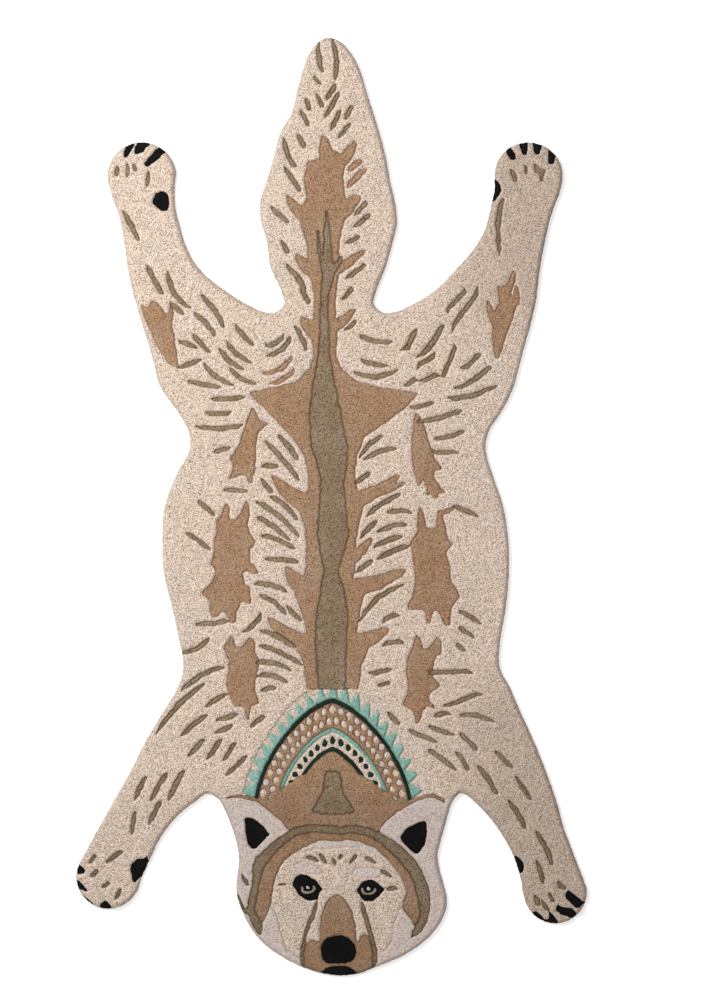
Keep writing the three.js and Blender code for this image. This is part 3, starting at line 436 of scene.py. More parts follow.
@dataclass
class HidePlan:
    """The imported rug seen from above: its edge, and the yarn of each cell."""

    cell: float = 0.0007
    coarse: float = 0.0028  # the plan's own size is a whole number of these
    margin: int = 3  # bare ones of them beyond the rug
    reach: int = 16  # how many cells a yarn may spread
    level: float = 0.999  # a face whose upright share is over this is level
    rounding: int = 5  # points added along each straight of the edge
    corner_passes: int = 3  # how often the yarns are evened out to round their corners
    outline: np.ndarray = field(init=False)
    origin: np.ndarray = field(init=False)
    yarns: np.ndarray = field(init=False)

    def __post_init__(self) -> None:
        """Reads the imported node."""
        corners = corners_of(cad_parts[NODE])
        low, high = corners.reshape(-1, 3).min(0), corners.reshape(-1, 3).max(0)
        across = np.cross(corners[:, 1] - corners[:, 0], corners[:, 2] - corners[:, 0])
        upright = across[:, 2] / (np.linalg.norm(across, axis=1) + 1e-18)
        self.outline = self._edge(corners[upright < -0.9][:, :, :2])
        self.origin = np.floor(low[:2] / self.coarse - self.margin) * self.coarse
        blocks = np.ceil((high[:2] - self.origin) / self.coarse).astype(int) + self.margin
        columns, rows = blocks * round(self.coarse / self.cell)
        self.yarns = np.full((rows, columns), BARE)
        for yarn, level in SHORN_TO.items():
            flat = (upright > self.level) & (np.abs(corners[:, :, 2].mean(1) - level * MM) < 0.05 * MM)
            for triangle in corners[flat][:, :, :2]:
                self._paint(triangle, yarn.value)
        top = corners[:, :, 2].max(1)
        rounded = (upright > 0.2) & (upright < self.level) & (top > (SHORN_TO[Yarn.COLLAR_BED] + 0.5) * MM)
        for triangle in corners[rounded][:, :, :2]:
            self._paint(triangle, RIM)
        inside = self._within()
        self._spread(inside, RIM, Yarn.ROSE)
        self._spread(inside, BARE, Yarn.COLLAR_BED)
        self._soften()
        self.yarns[~inside] = BARE

    def _edge(self, floor: np.ndarray) -> np.ndarray:
        """Walks round the underside.

        Args:
            floor: the underside's triangles.

        Returns:
            Points of the rounded edge, counter-clockwise from above.
        """
        points, index = np.unique(np.round(floor.reshape(-1, 2), 6), axis=0, return_inverse=True)
        index = index.reshape(-1, 3)
        walks = {(a, b) for i, j in ((0, 1), (1, 2), (2, 0)) for a, b in zip(index[:, i], index[:, j])}
        after = {b: a for a, b in walks if (b, a) not in walks}
        here = first = next(iter(after))
        loop = [here]
        while (here := after[here]) != first:
            loop.append(here)
        knots = points[loop]
        before, start, end, beyond = (np.roll(knots, n, axis=0) for n in (1, 0, -1, -2))
        slope, bend = end - before, 2 * before - 5 * start + 4 * end - beyond
        twist = 3 * start - before - 3 * end + beyond
        steps = np.arange(self.rounding) / self.rounding
        rounded = [0.5 * (2 * start + slope * t + bend * t**2 + twist * t**3) for t in steps]
        return np.stack(rounded, axis=1).reshape(-1, 2)

    def _paint(self, triangle: np.ndarray, value: int) -> None:
        """Fills one triangle of the plan.

        Args:
            triangle: its corners.
            value: the yarn's number.
        """
        first = np.maximum(np.floor((triangle.min(0) - self.origin) / self.cell).astype(int), 0)
        last = np.ceil((triangle.max(0) - self.origin) / self.cell).astype(int)
        x = self.origin[0] + (np.arange(first[0], last[0]) + 0.5) * self.cell
        y = self.origin[1] + (np.arange(first[1], last[1])[:, None] + 0.5) * self.cell
        inside = np.ones((y.shape[0], x.shape[0]), bool)
        for a, b in zip(triangle, np.roll(triangle, -1, axis=0)):
            inside &= (b[0] - a[0]) * (y - a[1]) - (b[1] - a[1]) * (x - a[0]) >= -1e-12
        self.yarns[first[1] : last[1], first[0] : last[0]][inside] = value

    def _within(self) -> np.ndarray:
        """Finds the cells inside the edge, by counting crossings along each row.

        Returns:
            True for those inside.
        """
        rows, columns = self.yarns.shape
        x = self.origin[0] + (np.arange(columns) + 0.5) * self.cell
        start, end = self.outline, np.roll(self.outline, -1, axis=0)
        inside = np.zeros((rows, columns), bool)
        for row in range(rows):
            y = self.origin[1] + (row + 0.5) * self.cell
            crossed = (start[:, 1] <= y) != (end[:, 1] <= y)
            a, b = start[crossed], end[crossed]
            hits = np.sort(a[:, 0] + (y - a[:, 1]) / (b[:, 1] - a[:, 1]) * (b[:, 0] - a[:, 0]))
            for left, right in zip(hits[::2], hits[1::2]):
                inside[row, np.searchsorted(x, left) : np.searchsorted(x, right)] = True
        return inside

    def _spread(self, inside: np.ndarray, open_to: int, last: Yarn) -> None:
        """Carries the yarns out into open cells.

        Args:
            inside: cells inside the edge.
            open_to: what an open cell holds.
            last: the last of the yarns, in their order, that spread.
        """
        for _ in range(self.reach):
            for axis in (0, 1):
                for step in (1, -1):
                    beside = np.roll(self.yarns, step, axis)
                    take = (self.yarns == open_to) & (beside >= 0) & (beside <= last.value) & inside
                    self.yarns[take] = beside[take]

    def _soften(self) -> None:
        """Rounds the corners between yarns by a millimetre or two, as tufts do."""
        share = np.zeros(self.yarns.shape)
        softened = self.yarns.copy()
        for yarn in SHORN_TO:
            here = blur((self.yarns == yarn.value).astype(float), self.corner_passes)
            softened[here > share] = yarn.value
            share = np.maximum(share, here)
        self.yarns = softened

    def look(self, x: np.ndarray, y: np.ndarray) -> np.ndarray:
        """Looks up the yarn under each place.

        Args:
            x: places across.
            y: places along.

        Returns:
            The yarns' numbers.
        """
        rows, columns = self.yarns.shape
        column = np.clip(((x - self.origin[0]) / self.cell).astype(int), 0, columns - 1)
        row = np.clip(((y - self.origin[1]) / self.cell).astype(int), 0, rows - 1)
        return self.yarns[row, column]

    def nearest_edge(self, points: np.ndarray) -> tuple[np.ndarray, np.ndarray]:
        """The nearest place on the edge.

        Args:
            points: places on the rug.

        Returns:
            For each, the place on the edge and the direction that leads straight out there.
        """
        start = self.outline
        run = np.roll(start, -1, axis=0) - start
        feet, ways = [], []
        for some in np.array_split(points, len(points) // BATCH + 1):
            share = ((some[:, None] - start) * run).sum(2) / (run**2).sum(1)
            foot = start + np.clip(share, 0, 1)[..., None] * run
            best = ((some[:, None] - foot) ** 2).sum(2).argmin(1)
            feet.append(foot[np.arange(len(some)), best])
            ways.append(np.stack([run[best, 1], -run[best, 0]], axis=1))
        out = np.concatenate(ways)
        return np.concatenate(feet), out / np.linalg.norm(out, axis=1, keepdims=True)


# ---------------------------------------- motifs laid in the yarn plan


@dataclass(frozen=True)
class ArchCollar:
    """A plain arch of geometric bands round the neck. Lengths are in metres."""

    middle: tuple[float, float] = (0.003, -0.497)
    half_wide: float = 0.157
    high: float = 0.2
    roundness: float = 1.5
    teeth: int = 21
    lozenges: int = 25
    diamonds: int = 17
    toothed: float = 0.85  # the reach from which it has teeth
    beaded: tuple[float, float] = (0.44, 0.56)  # the reaches between which it has small diamonds
    rows: tuple[float, float] = (0.7625, 0.6675)  # the reaches of its two rows of lozenges
    half_row: float = 0.0475
    bands: tuple[tuple[float, float, Yarn], ...] = (
        (0.85, math.inf, Yarn.CREAM),
        (0.81, 0.85, Yarn.GREEN),
        (0.56, 0.6, Yarn.MINT),
        (0.44, 0.56, Yarn.CREAM),
        (0.4, 0.44, Yarn.GREEN),
    )

    def polar(self, x: np.ndarray, y: np.ndarray) -> tuple[np.ndarray, np.ndarray]:
        """Place in the arch.

        Args:
            x: places across.
            y: places along.

        Returns:
            Reach, 0 in the middle and 1 at the outer edge, and turn, 0 at the right and 1 at the left.
        """
        u = (x - self.middle[0]) / self.half_wide
        v = np.maximum((y - self.middle[1]) / self.high, 0)
        reach = (np.abs(u) ** self.roundness + v**self.roundness) ** (1 / self.roundness)
        return reach, np.arctan2(v, u) / math.pi

    def yarns(self, x: np.ndarray, y: np.ndarray) -> np.ndarray:
        """The yarn at each place of the collar.

        Args:
            x: places across.
            y: places along.

        Returns:
            The yarns' numbers.
        """
        reach, turn = self.polar(x, y)
        made = np.full(x.shape, Yarn.TAN.value)
        for low, high, yarn in self.bands:
            made[(reach >= low) & (reach < high)] = yarn.value
        tooth = (1 - reach) / (1 - self.toothed) + 0.08
        made[(reach >= self.toothed) & (self._off_middle(turn * self.teeth) < tooth)] = Yarn.MINT.value
        for row, middle in enumerate(self.rows):
            place = turn * self.lozenges + 0.5 * row
            size = self._off_middle(place) + np.abs((reach - middle) / self.half_row)
            odd = np.floor(place + row) % 2 == 1
            made[(size < 0.88) & odd] = Yarn.ROSE.value
            made[(size < 0.88) & ~odd] = Yarn.CREAM.value
        low, high = self.beaded
        small = self._off_middle(turn * self.diamonds) + np.abs((reach - 0.5 * (low + high)) / 0.055)
        made[(reach >= low) & (reach < high) & (small < 0.85)] = Yarn.GREEN.value
        return made

    @staticmethod
    def _off_middle(place: np.ndarray) -> np.ndarray:
        """How far each place is from the middle of its own motif, 0 in the middle and 1 at its sides."""
        return np.abs(place % 1 - 0.5) * 2


@dataclass(frozen=True)
class Eye:
    """The coloured ring inside a black eye patch. Lengths are in metres."""

    x: float
    y: float
    ring: float = 0.013
    pupil: float = 0.0088
    lid: float = 0.0035  # how far above the middle the lid covers the ring
    glint: float = 0.004
    squash: float = 1.18  # its width over its height

    def lay(self, x: np.ndarray, y: np.ndarray, yarns: np.ndarray) -> None:
        """Sets the eye's yarns in the plan.

        Args:
            x: places across.
            y: places along.
            yarns: the yarns' numbers there, which are changed.
        """
        away = np.hypot(x - self.x, (y - self.y) * self.squash)
        dark = yarns == Yarn.BLACK.value
        ring = (away < self.ring) & (away > self.pupil) & (y < self.y + self.lid)
        yarns[dark & ring] = Yarn.HONEY.value
        yarns[dark & (away < self.glint)] = Yarn.ROSE.value


EYES = (Eye(-0.0395, -0.6495), Eye(0.064, -0.6515))


# ---------------------------------------- the pile


@dataclass(frozen=True)
class Section:
    """A stretch of the cream pile that is made as one piece, from one y to another in metres."""

    name: str
    low: float
    high: float


CREAM_SECTIONS = (
    Section("head", -1.0, -0.47),
    Section("shoulders", -0.47, -0.21),
    Section("ribs", -0.21, 0.02),
    Section("haunches", 0.02, 0.27),
    Section("tail_and_hind_legs", 0.27, 1.0),
)


@dataclass(frozen=True)
class Shading:
    """Where the pile is painted darker, in shares of its root's colour: painted shade on the rim, on sides
    away from the light and on the right legs, and a darker head and low yarns. Places are in metres.
    """

    neck: float = -0.47  # below this y, all yarns are darker
    legs: tuple[float, float] = (0.17, 0.25)  # beyond this x, and this y either way, the fur has painted shade
    away_from_light: tuple[float, float] = (0.96, -0.28)  # the way, away from the light, that the sides with painted shade face
    passes: int = 60  # how far off the fur round a mark still counts
    # painted shade on the rim where it faces away from the light
    rim: float = 0.25
    fur_at_head: float = 0.05
    # painted shade on the fur of the right legs
    fur_shade_at_legs: float = 0.24
    low: float = 0.13  # all yarns that are shorn lower than the fur
    low_in_fur: float = -0.26
    low_at_head: float = 0.15
    low_shaded_side: float = 0.55  # painted shade on their side that the fur beside them shades

    def spread(self, x: np.ndarray, y: np.ndarray, fur: np.ndarray, cream: np.ndarray) -> np.ndarray:
        """How dark each point is painted, apart from the rim.

        Args:
            x: places across.
            y: places along.
            fur: which points are of the cream fur.
            cream: how much of the cream fur is round each point.

        Returns:
            The share of the root's colour.
        """
        head = np.clip((self.neck - y) / 0.03, 0, 1)
        # painted shade on the fur of the right legs
        legs = np.clip((x - self.legs[0]) / 0.12, 0, 1) * np.clip((np.abs(y) - self.legs[1]) / 0.1, 0, 1)
        # painted shade on the side of each low patch that faces away from the light
        up, right = np.gradient(blur(cream, 3))
        side = np.clip((self.away_from_light[0] * right + self.away_from_light[1] * up) * 5, 0, 1)
        low = self.low + self.low_in_fur * blur(cream, self.passes)
        low += self.low_at_head * head + self.low_shaded_side * side
        return np.where(fur, self.fur_at_head * head + self.fur_shade_at_legs * legs, low)


@dataclass
class Pile:
    """The tufted surface on a grid: the yarn of each cell, and place and height of each point."""

    plan: HidePlan
    shading: Shading = Shading()
    cell: float = 0.0014
    ragged: float = 0.0011  # how far tufts push a colour's edge aside
    tidyings: int = 3  # passes that clear away lone cells
    smoothing: int = 4  # passes that draw the borders between yarns smooth
    pull: float = 0.6  # how far one pass moves a point of a border
    easing: int = 3  # passes that set the other points evenly between them
    peak: float = 0.75  # a tuft's middle over its mean height, in crowns
    hollow: float = 1.7  # how steeply it falls off from there
    waves: tuple[tuple[float, float], ...] = ((0.011, 0.6), (0.043, 0.7))  # slow unevenness: length, share
    rim_reach: float = 0.0075
    rim_drop: float = 0.45
    groove: float = 0.0017
    parting: float = 0.0007  # how much lower the fur is beside a carved mark
    backing: float = 0.003
    tuck: float = 0.0006  # how far the skirt hangs below the backing's upper face
    skirt: tuple[tuple[float, float], ...] = ((0.0008, 0.66), (0.0009, 0.36), (-0.0004, 0.0))
    labels: np.ndarray = field(init=False)
    in_collar: np.ndarray = field(init=False)
    in_eyes: np.ndarray = field(init=False)
    spots: np.ndarray = field(init=False)
    rim: np.ndarray = field(init=False)
    outward: np.ndarray = field(init=False)
    line: np.ndarray = field(init=False)
    heights: np.ndarray = field(init=False)
    measures: dict[str, np.ndarray] = field(init=False)

    def __post_init__(self) -> None:
        """Lays out the yarns, then shapes the points."""
        self._lay_yarns()
        self._draw_borders()
        self._raise_tufts()

    def _centres(self) -> tuple[np.ndarray, np.ndarray]:
        """Middles of the grid's cells.

        Returns:
            Their places across and along.
        """
        rows, columns = (n // 2 for n in self.plan.yarns.shape)
        x = self.plan.origin[0] + (np.arange(columns) + 0.5) * self.cell
        y = self.plan.origin[1] + (np.arange(rows) + 0.5) * self.cell
        return np.meshgrid(x, y)

    def _lay_yarns(self) -> None:
        """Looks up each cell's yarn, with edges as ragged as tufts make them."""
        x, y = self._centres()
        straight = self.plan.look(x, y)
        aside, ahead = (
            swell(x, y, 0.006, seed) * self.ragged + swell(x, y, 0.0031, seed + 1) * self.ragged * 0.5
            for seed in (21, 23)
        )
        moved = self.plan.look(x + aside, y + ahead)
        labels = np.where((moved == BARE) | (straight == BARE), straight, moved)
        bed = labels == Yarn.COLLAR_BED.value
        labels[bed] = ArchCollar().yarns((x + aside * 0.5)[bed], (y + ahead * 0.5)[bed])
        patches = labels == Yarn.BLACK.value
        for eye in EYES:
            eye.lay(x, y, labels)
        self.in_collar, self.in_eyes = bed, patches & (labels != Yarn.BLACK.value)
        self.labels = self._tidy(labels)

    def _tidy(self, labels: np.ndarray) -> np.ndarray:
        """Gives lone cells, and cells that touch only at a corner, their neighbour's yarn.

        Args:
            labels: the yarns' numbers.

        Returns:
            The tidied numbers.
        """
        for _ in range(self.tidyings):
            sides = [np.roll(labels, step, axis) for axis in (0, 1) for step in (1, -1)]
            lone = (labels != BARE) & (sum((labels == side).astype(int) for side in sides) == 0)
            for side in sides:
                labels = np.where(lone & (side != BARE), side, labels)
            right, above = np.roll(labels, -1, 1), np.roll(labels, -1, 0)
            corner = np.roll(above, -1, 1)
            kiss = ((labels == corner) | (right == above)) & (labels != right) & (labels != above)
            kiss &= (labels != BARE) & (right != BARE) & (above != BARE) & (corner != BARE)
            labels = np.where(kiss, right, labels)
        return labels

    def _draw_borders(self) -> None:
        """Draws the stepped borders between cells out into smooth lines."""
        padded = np.pad(self.labels, 1, constant_values=BARE)
        level = padded[:-1, 1:-1] != padded[1:, 1:-1]
        upright = padded[1:-1, :-1] != padded[1:-1, 1:]
        rim_level = level & ((padded[:-1, 1:-1] == BARE) | (padded[1:, 1:-1] == BARE))
        rim_upright = upright & ((padded[1:-1, :-1] == BARE) | (padded[1:-1, 1:] == BARE))
        rows, columns = self.labels.shape
        x = self.plan.origin[0] + np.arange(columns + 1) * self.cell
        y = self.plan.origin[1] + np.arange(rows + 1) * self.cell
        spots = np.stack(np.meshgrid(x, y), axis=2)
        rim = self._beside(spots, rim_level, rim_upright)[1] > 0
        line = (self._beside(spots, level, upright)[1] > 0) & ~rim
        for _ in range(self.smoothing):
            for mine, flags in ((rim, (rim_level, rim_upright)), (line, (level, upright))):
                total, count = self._beside(spots, *flags)
                mean = total / np.maximum(count, 1)[..., None]
                spots = np.where(mine[..., None], (1 - self.pull) * spots + self.pull * mean, spots)
        foot, self.outward = self.plan.nearest_edge(spots[rim])
        spots[rim] = foot
        free = ~(rim | line)
        everywhere = np.ones_like(level), np.ones_like(upright)
        for _ in range(self.easing):
            total, count = self._beside(spots, *everywhere)
            spots = np.where(free[..., None], total / count[..., None], spots)
        self.spots, self.rim, self.line = spots, rim, line

    def _beside(
        self, spots: np.ndarray, level: np.ndarray, upright: np.ndarray
    ) -> tuple[np.ndarray, np.ndarray]:
        """Sums up the neighbours along marked grid lines.

        Args:
            spots: the points.
            level: marked lines across.
            upright: marked lines along.

        Returns:
            The sum of each point's neighbours, and how many it has.
        """
        total, count = np.zeros_like(spots), np.zeros(spots.shape[:2])
        for marks, one, other in ((level, np.s_[:, :-1], np.s_[:, 1:]), (upright, np.s_[:-1], np.s_[1:])):
            total[one] += marks[..., None] * spots[other]
            total[other] += marks[..., None] * spots[one]
            count[one] += marks
            count[other] += marks
        return total, count

    def _to_points(self, cells: np.ndarray) -> np.ndarray:
        """Carries numbers from the grid's cells to its points.

        Args:
            cells: a number for each cell.

        Returns:
            For each point, the mean of the cells round it that have pile.
        """
        there = np.pad(self.labels != BARE, 1).astype(float)
        padded = np.pad(cells, 1) * there
        total, count = (n[:-1, :-1] + n[1:, :-1] + n[:-1, 1:] + n[1:, 1:] for n in (padded, there))
        return total / np.maximum(count, 1)

    def _levels(self) -> np.ndarray:
        """Height of each cell's pile before its tufts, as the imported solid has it.

        Returns:
            The heights in metres.
        """
        tall = np.full(self.labels.shape, SHORN_TO[Yarn.COLLAR_BED] * MM)
        for yarn, level in SHORN_TO.items():
            tall[(self.labels == yarn.value) & ~self.in_collar] = level * MM
        tall[self.in_eyes] = SHORN_TO[Yarn.BLACK] * MM
        return tall

    def _find_tufts(self, owner: np.ndarray, inside: np.ndarray) -> tuple[np.ndarray, ...]:
        """Finds the tuft that each point belongs to.

        Args:
            owner: the yarn of each point.
            inside: which points have pile.

        Returns:
            The tufts' crown and unevenness, and by point the distance from the tuft's middle, the distance
            from the gap to the next, and the tuft's luck.
        """
        x, y = self.spots[..., 0], self.spots[..., 1]
        crown, uneven, near, luck = (np.zeros(x.shape) for _ in range(4))
        gap = np.ones(x.shape)
        for rows in {finish.tufts for finish in FINISHES.values()}:
            found = np.zeros(x.shape, bool)
            for yarn, finish in FINISHES.items():
                if finish.tufts == rows:
                    mine = inside & (owner == yarn.value)
                    crown[mine], uneven[mine] = finish.crown, finish.uneven
                    found |= mine
            near[found], gap[found], luck[found] = rows.read(x[found], y[found])
        return crown, uneven, near, gap, luck

    def _from_rim(self, inside: np.ndarray) -> tuple[np.ndarray, np.ndarray]:
        """How near each point is to the rug's edge.

        Args:
            inside: which points have pile.

        Returns:
            Nearness, from 1 at the edge to 0 where the rim ends, and how much the edge there faces away from
            the light, for its painted shade.
        """
        away, turned_from_light = np.full(inside.shape, 1.0), np.zeros(inside.shape)
        band = inside & (blur(inside.astype(float), 5) < 0.999)
        foot, outward = self.plan.nearest_edge(self.spots[band])
        away[band] = np.hypot(*(self.spots[band] - foot).T)
        turned_from_light[band] = np.clip(outward @ self.shading.away_from_light, 0, 1)
        return np.clip(1 - away / self.rim_reach, 0, 1), turned_from_light

    def _raise_tufts(self) -> None:
        """Sets each point's height, and the measures that the yarns' colours follow."""
        points = self._to_points(self._levels())
        inside = self._to_points(np.ones(self.labels.shape)) > 0
        x, y = self.spots[..., 0], self.spots[..., 1]
        owner = self._owner()
        fur = owner == Yarn.CREAM.value
        crown, uneven, near, gap, luck = self._find_tufts(owner, inside)
        carved = np.minimum(blur(self.line.astype(float), 1) * 1.5, 1)
        cream = self._to_points((self.labels == Yarn.CREAM.value).astype(float))
        # painted groove shade along carved lines between the low yarns
        lines = carved * np.clip(1 - 4 * blur(cream, 3), 0, 1)
        shorn = np.clip(blur(self._to_points((self.labels > 0).astype(float)), 3) * 2.4, 0, 1)
        # fur beside carved marks: lower, and paler in colour, partly painted highlight
        halo = np.where(fur, shorn, 0) * cream
        calm = 1 - 0.6 * halo
        points += crown * calm * (self.peak - np.minimum(near, 0.9) ** 2 * self.hollow)
        points += uneven * calm * luck
        for seed, (length, share) in enumerate(self.waves, start=31):
            points += swell(x, y, length, seed) * uneven * share
        points -= self.groove * carved + halo * self.parting
        fall, turned_from_light = self._from_rim(inside)
        self.heights = self.backing + (points - self.backing) * (1 - self.rim_drop * fall**2.2)
        # painted shade between tufts (less in the halo) and on the rim, painted groove shade and halo, and
        # the Shading's darkening
        self.measures = {
            "gap": np.clip(gap * 2.6, 0, 1) * (1 - 0.5 * halo) + 0.5 * halo,
            "rim": fall**1.5,
            "groove_shade_and_halo": np.maximum(np.where(fur, 0, lines), halo**2),
            "shade": self.shading.rim * fall**1.5 * turned_from_light + self.shading.spread(x, y, fur, cream),
        }

    def _owner(self) -> np.ndarray:
        """The yarn of each point, taken from a cell beside it."""
        padded = np.pad(self.labels, 1, constant_values=BARE)
        return np.maximum.reduce([padded[:-1, :-1], padded[1:, :-1], padded[:-1, 1:], padded[1:, 1:]])

    def _skirts(self) -> tuple[np.ndarray, np.ndarray]:
        """Number of each rim point in the rim's own list, and the skirt's points under it.

        Returns:
            A grid of those numbers, and points by row of the skirt, rim point and axis.
        """
        number = np.full(self.rim.shape, -1)
        number[self.rim] = np.arange(int(self.rim.sum()))
        spots, top = self.spots[self.rim], self.heights[self.rim]
        x, y = spots.T
        rows = []
        for out, share in self.skirt:
            reach = out + (swell(x, y, 0.0032, 41 + int(share * 100)) * 0.0006 if share else 0)
            place = spots + self.outward * np.reshape(reach, (-1, 1))
            low = self.backing - self.tuck
            rows.append(np.column_stack([place, low + (top - low) * share]))
        return number, np.stack(rows)

    def piece(self, name: str, finish: PileFinish, cells: np.ndarray) -> bpy.types.Object:
        """Makes one piece of pile.

        Args:
            name: the piece's name.
            finish: its yarn.
            cells: which cells of the grid belong to it.

        Returns:
            The piece, with its skirt where it reaches the rug's edge.
        """
        rows, columns = self.labels.shape
        index = np.arange((rows + 1) * (columns + 1)).reshape(rows + 1, columns + 1)
        row, column = np.nonzero(cells)
        round_a_cell = ((0, 0), (0, 1), (1, 1), (1, 0))
        quads = np.stack([index[row + up, column + right] for up, right in round_a_cell], axis=1)
        number, hems = self._skirts()
        sides = self._rim_sides(cells, index)
        grid_count, hem_count = index.size, hems.shape[1]
        numbers = number.ravel()
        for depth in range(len(self.skirt)):
            upper, lower = (
                sides if step < 0 else grid_count + step * hem_count + numbers[sides]
                for step in (depth - 1, depth)
            )
            strip = np.column_stack([upper[:, 0], lower[:, 0], lower[:, 1], upper[:, 1]])
            quads = np.concatenate([quads, strip])
        top = np.dstack([self.spots, self.heights]).reshape(-1, 3)
        places = np.concatenate([top, hems.reshape(-1, 3)])
        used, faces = np.unique(quads, return_inverse=True)
        mesh = bpy.data.meshes.new(name)
        mesh.from_pydata(places[used].tolist(), [], faces.reshape(-1, 4).tolist())
        mesh.shade_smooth()
        for measure, grid in self.measures.items():
            flat = grid.ravel()
            values = np.concatenate([flat, np.tile(flat[self.rim.ravel()], len(self.skirt))])
            layer = mesh.attributes.new(measure, "FLOAT", "POINT")
            layer.data.foreach_set("value", values[used].astype(np.float32))
        piece = bpy.data.objects.new(name, mesh)
        bpy.context.scene.collection.objects.link(piece)
        mesh.materials.append(finish.material())
        return piece

    def _rim_sides(self, cells: np.ndarray, index: np.ndarray) -> np.ndarray:
        """The rim lines of some cells, each walked so that the rug lies to its left.

        Args:
            cells: the cells.
            index: number of each point of the grid.

        Returns:
            Pairs of points.
        """
        padded = np.pad(self.labels, 1, constant_values=BARE)
        mine = np.pad(cells, 1)
        pairs = []
        for beside, one, other in (
            (np.roll(padded, 1, 0), (0, 0), (0, 1)),
            (np.roll(padded, -1, 1), (0, 1), (1, 1)),
            (np.roll(padded, -1, 0), (1, 1), (1, 0)),
            (np.roll(padded, 1, 1), (1, 0), (0, 0)),
        ):
            row, column = np.nonzero((mine & (beside == BARE))[1:-1, 1:-1])
            pairs.append(np.stack([index[row + up, column + right] for up, right in (one, other)], axis=1))
        return np.concatenate(pairs)

    def build(self) -> Iterator[tuple[bpy.types.Object, PileFinish]]:
        """Makes every piece of pile in turn.

        Returns:
            Each piece with its finish.
        """
        _, y = self._centres()
        for section in CREAM_SECTIONS:
            cells = (self.labels == Yarn.CREAM.value) & (y >= section.low) & (y < section.high)
            finish = FINISHES[Yarn.CREAM]
            yield self.piece(f"cream_pile_{section.name}", finish, cells), finish
        for yarn, finish in FINISHES.items():
            if yarn is not Yarn.CREAM:
                yield self.piece(f"{yarn.name.lower()}_pile", finish, self.labels == yarn.value), finish


# ---------------------------------------- backing


@dataclass(frozen=True)
class BackingCloth:
    """The woven cotton that the pile is tufted through, glued flat. Lengths are in metres."""

    outline: np.ndarray
    thick: float = 0.003
    inset: float = 0.0007
    thread: float = 0.0016

    def material(self) -> bpy.types.Material:
        """A plain weave.

        Returns:
            The cloth's material.
        """
        shader = Shader("backing_cloth")
        place = shader.node("ShaderNodeTexCoord", out="Object")
        x, y = (shader.node("ShaderNodeSeparateXYZ", sockets={0: place}, out=axis) for axis in "XY")
        turn = math.pi / self.thread
        over = (x * turn).wave() * (y * turn).wave()
        warp, weft = (x * (2 * turn)).wave().size(), (y * (2 * turn)).wave().size()
        thread = warp * over.at_least(0.0) + weft * (over * -1.0).at_least(0.0)
        slub = shader.grain(0.012, 3.0)
        lit = 0.35 + thread * 0.5 + (slub - 0.5) * 0.5
        colour = shader.blend(lit.share(), dye("B3A58C"), dye("D9CCB4"))
        sockets = {"Strength": 0.6, "Distance": 0.0004, "Height": thread}
        relief = shader.node("ShaderNodeBump", sockets=sockets)
        cotton = {"Roughness": 0.9, "Specular IOR Level": 0.2, "Sheen Weight": 0.15}
        return shader.finish({**cotton, "Base Color": colour, "Normal": relief})

    def build(self) -> bpy.types.Object:
        """Makes the cloth.

        Returns:
            The cloth, a closed thin sheet.
        """
        before, after = np.roll(self.outline, 1, axis=0), np.roll(self.outline, -1, axis=0)
        run = after - before
        inward = np.stack([-run[:, 1], run[:, 0]], axis=1) / np.linalg.norm(run, axis=1)[:, None]
        edge = self.outline + inward * self.inset
        count = len(edge)
        low = np.column_stack([edge, np.zeros(count)])
        high = np.column_stack([edge, np.full(count, self.thick)])
        ring = np.arange(count)
        after_ring = np.roll(ring, -1)
        sides = np.column_stack([ring, after_ring, after_ring + count, ring + count]).tolist()
        faces = [ring[::-1].tolist(), (ring + count).tolist(), *sides]
        mesh = bpy.data.meshes.new("backing_cloth")
        mesh.from_pydata(np.concatenate([low, high]).tolist(), [], faces)
        mesh.materials.append(self.material())
        piece = bpy.data.objects.new("backing_cloth", mesh)
        bpy.context.scene.collection.objects.link(piece)
        return piece


# ---------------------------------------- studio


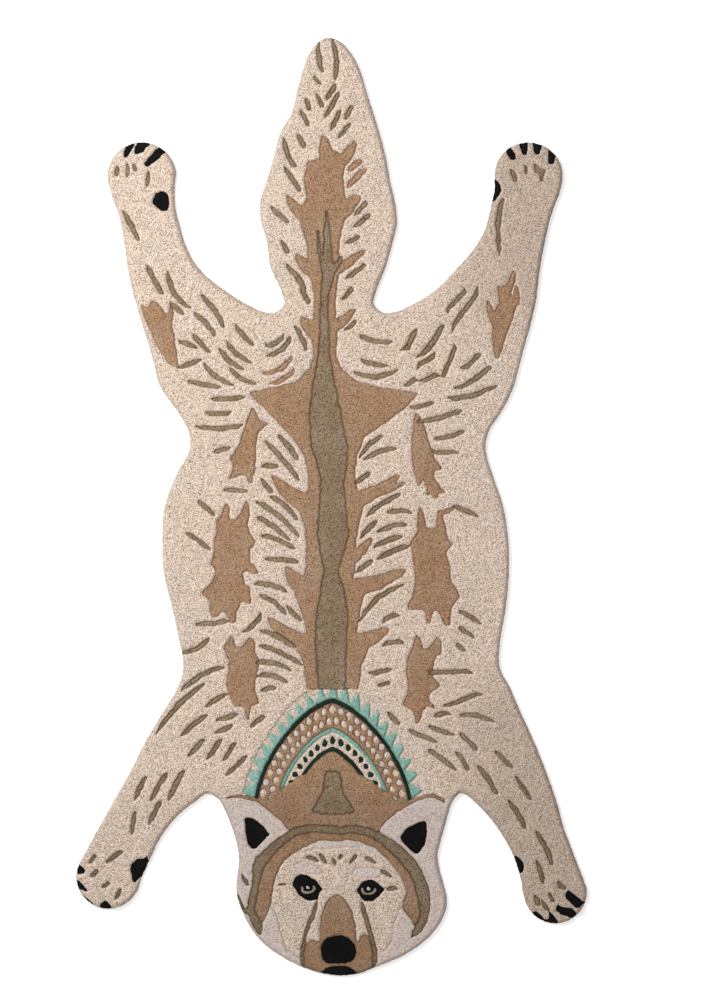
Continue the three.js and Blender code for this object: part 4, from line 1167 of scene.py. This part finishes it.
@dataclass(frozen=True)
class Studio:
    """The floor, the lights and the camera. Lengths are in metres."""

    over: tuple[float, float] = (0.0503, 0.0111)  # the point under the lens
    seen: float = 1.7039  # how much of the rug's plane the picture is high
    lift: float = 4.0
    sensor: float = 36.0
    day: float = 0.5
    lamp_at: tuple[float, float, float] = (-1.25, 0.85, 2.1)
    lamp_wide: float = 0.95
    lamp: float = 49.0  # W
    reach: float = 30.0  # from the middle of the floor to its sides
    hair: float = 0.0002
    floor_glow: float = 0.42  # the floor is lit from below too, as a photographer's table is

    def floor(self) -> None:
        """Lays a plain pale floor, a hair below the rug, so that no two faces share a plane."""
        mesh = bpy.data.meshes.new("floor")
        corners = [(x, y, -self.hair) for x, y in ((-1, -1), (1, -1), (1, 1), (-1, 1))]
        mesh.from_pydata([(x * self.reach, y * self.reach, z) for x, y, z in corners], [], [(0, 1, 2, 3)])
        floor = bpy.data.objects.new("floor", mesh)
        bpy.context.scene.collection.objects.link(floor)
        paper = {
            "Base Color": dye("F4F4F4"),
            "Roughness": 0.8,
            "Specular IOR Level": 0.1,
            "Emission Color": dye("FFFFFF"),
            "Emission Strength": self.floor_glow,
        }
        mesh.materials.append(Shader("floor_paper").finish(paper))
        floor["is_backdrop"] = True

    def softbox(self) -> None:
        """Sets the round light at the upper left, wide enough for soft shadows."""
        light = bpy.data.lights.new("softbox", "AREA")
        light.shape, light.size, light.energy = "DISK", self.lamp_wide, self.lamp
        lamp = bpy.data.objects.new("softbox", light)
        lamp.location = self.lamp_at
        lamp.rotation_mode = "QUATERNION"
        lamp.rotation_quaternion = Vector(self.lamp_at).to_track_quat("Z", "Y")
        bpy.context.scene.collection.objects.link(lamp)

    def build(self) -> None:
        """Sets up the floor, the lights, the sky and the camera."""
        scene = bpy.context.scene
        self.floor()
        self.softbox()
        sky = bpy.data.worlds.new("studio")
        sky.use_nodes = True
        sky.node_tree.nodes["Background"].inputs["Color"].default_value = (1, 1, 1, 1)
        sky.node_tree.nodes["Background"].inputs["Strength"].default_value = self.day
        scene.world = sky
        scene.view_settings.view_transform = "Standard"
        lens = bpy.data.cameras.new("camera")
        lens.sensor_width = self.sensor
        lens.lens = self.sensor * self.lift / self.seen
        camera = bpy.data.objects.new("camera", lens)
        camera.location = (*self.over, self.lift + SHORN_TO[Yarn.CREAM] * MM)
        scene.collection.objects.link(camera)
        scene.camera = camera


def main() -> None:
    """Builds the studio, the backing and the pile, and says what each piece is."""
    logging.basicConfig(level=logging.INFO, format="%(message)s")
    Studio().build()
    plan = HidePlan()
    pile = Pile(plan)
    for piece, finish in pile.build():
        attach(piece, "root")
        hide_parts(NODE)
        log.info("%s: %d faces", piece.name, len(piece.data.polygons))
    backing = BackingCloth(plan.outline).build()
    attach(backing, "root")
    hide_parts(NODE)
    edge, after = plan.outline, np.roll(plan.outline, -1, axis=0)
    area = float((edge[:, 0] * after[:, 1] - after[:, 0] * edge[:, 1]).sum() / 2)
    log.info("%s: %.4f square metres", backing.name, area)
    dressed_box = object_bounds()
    [[list(corner) for corner in box] for box in (packed_box, dressed_box)]


if __name__ == "__main__":
    main()
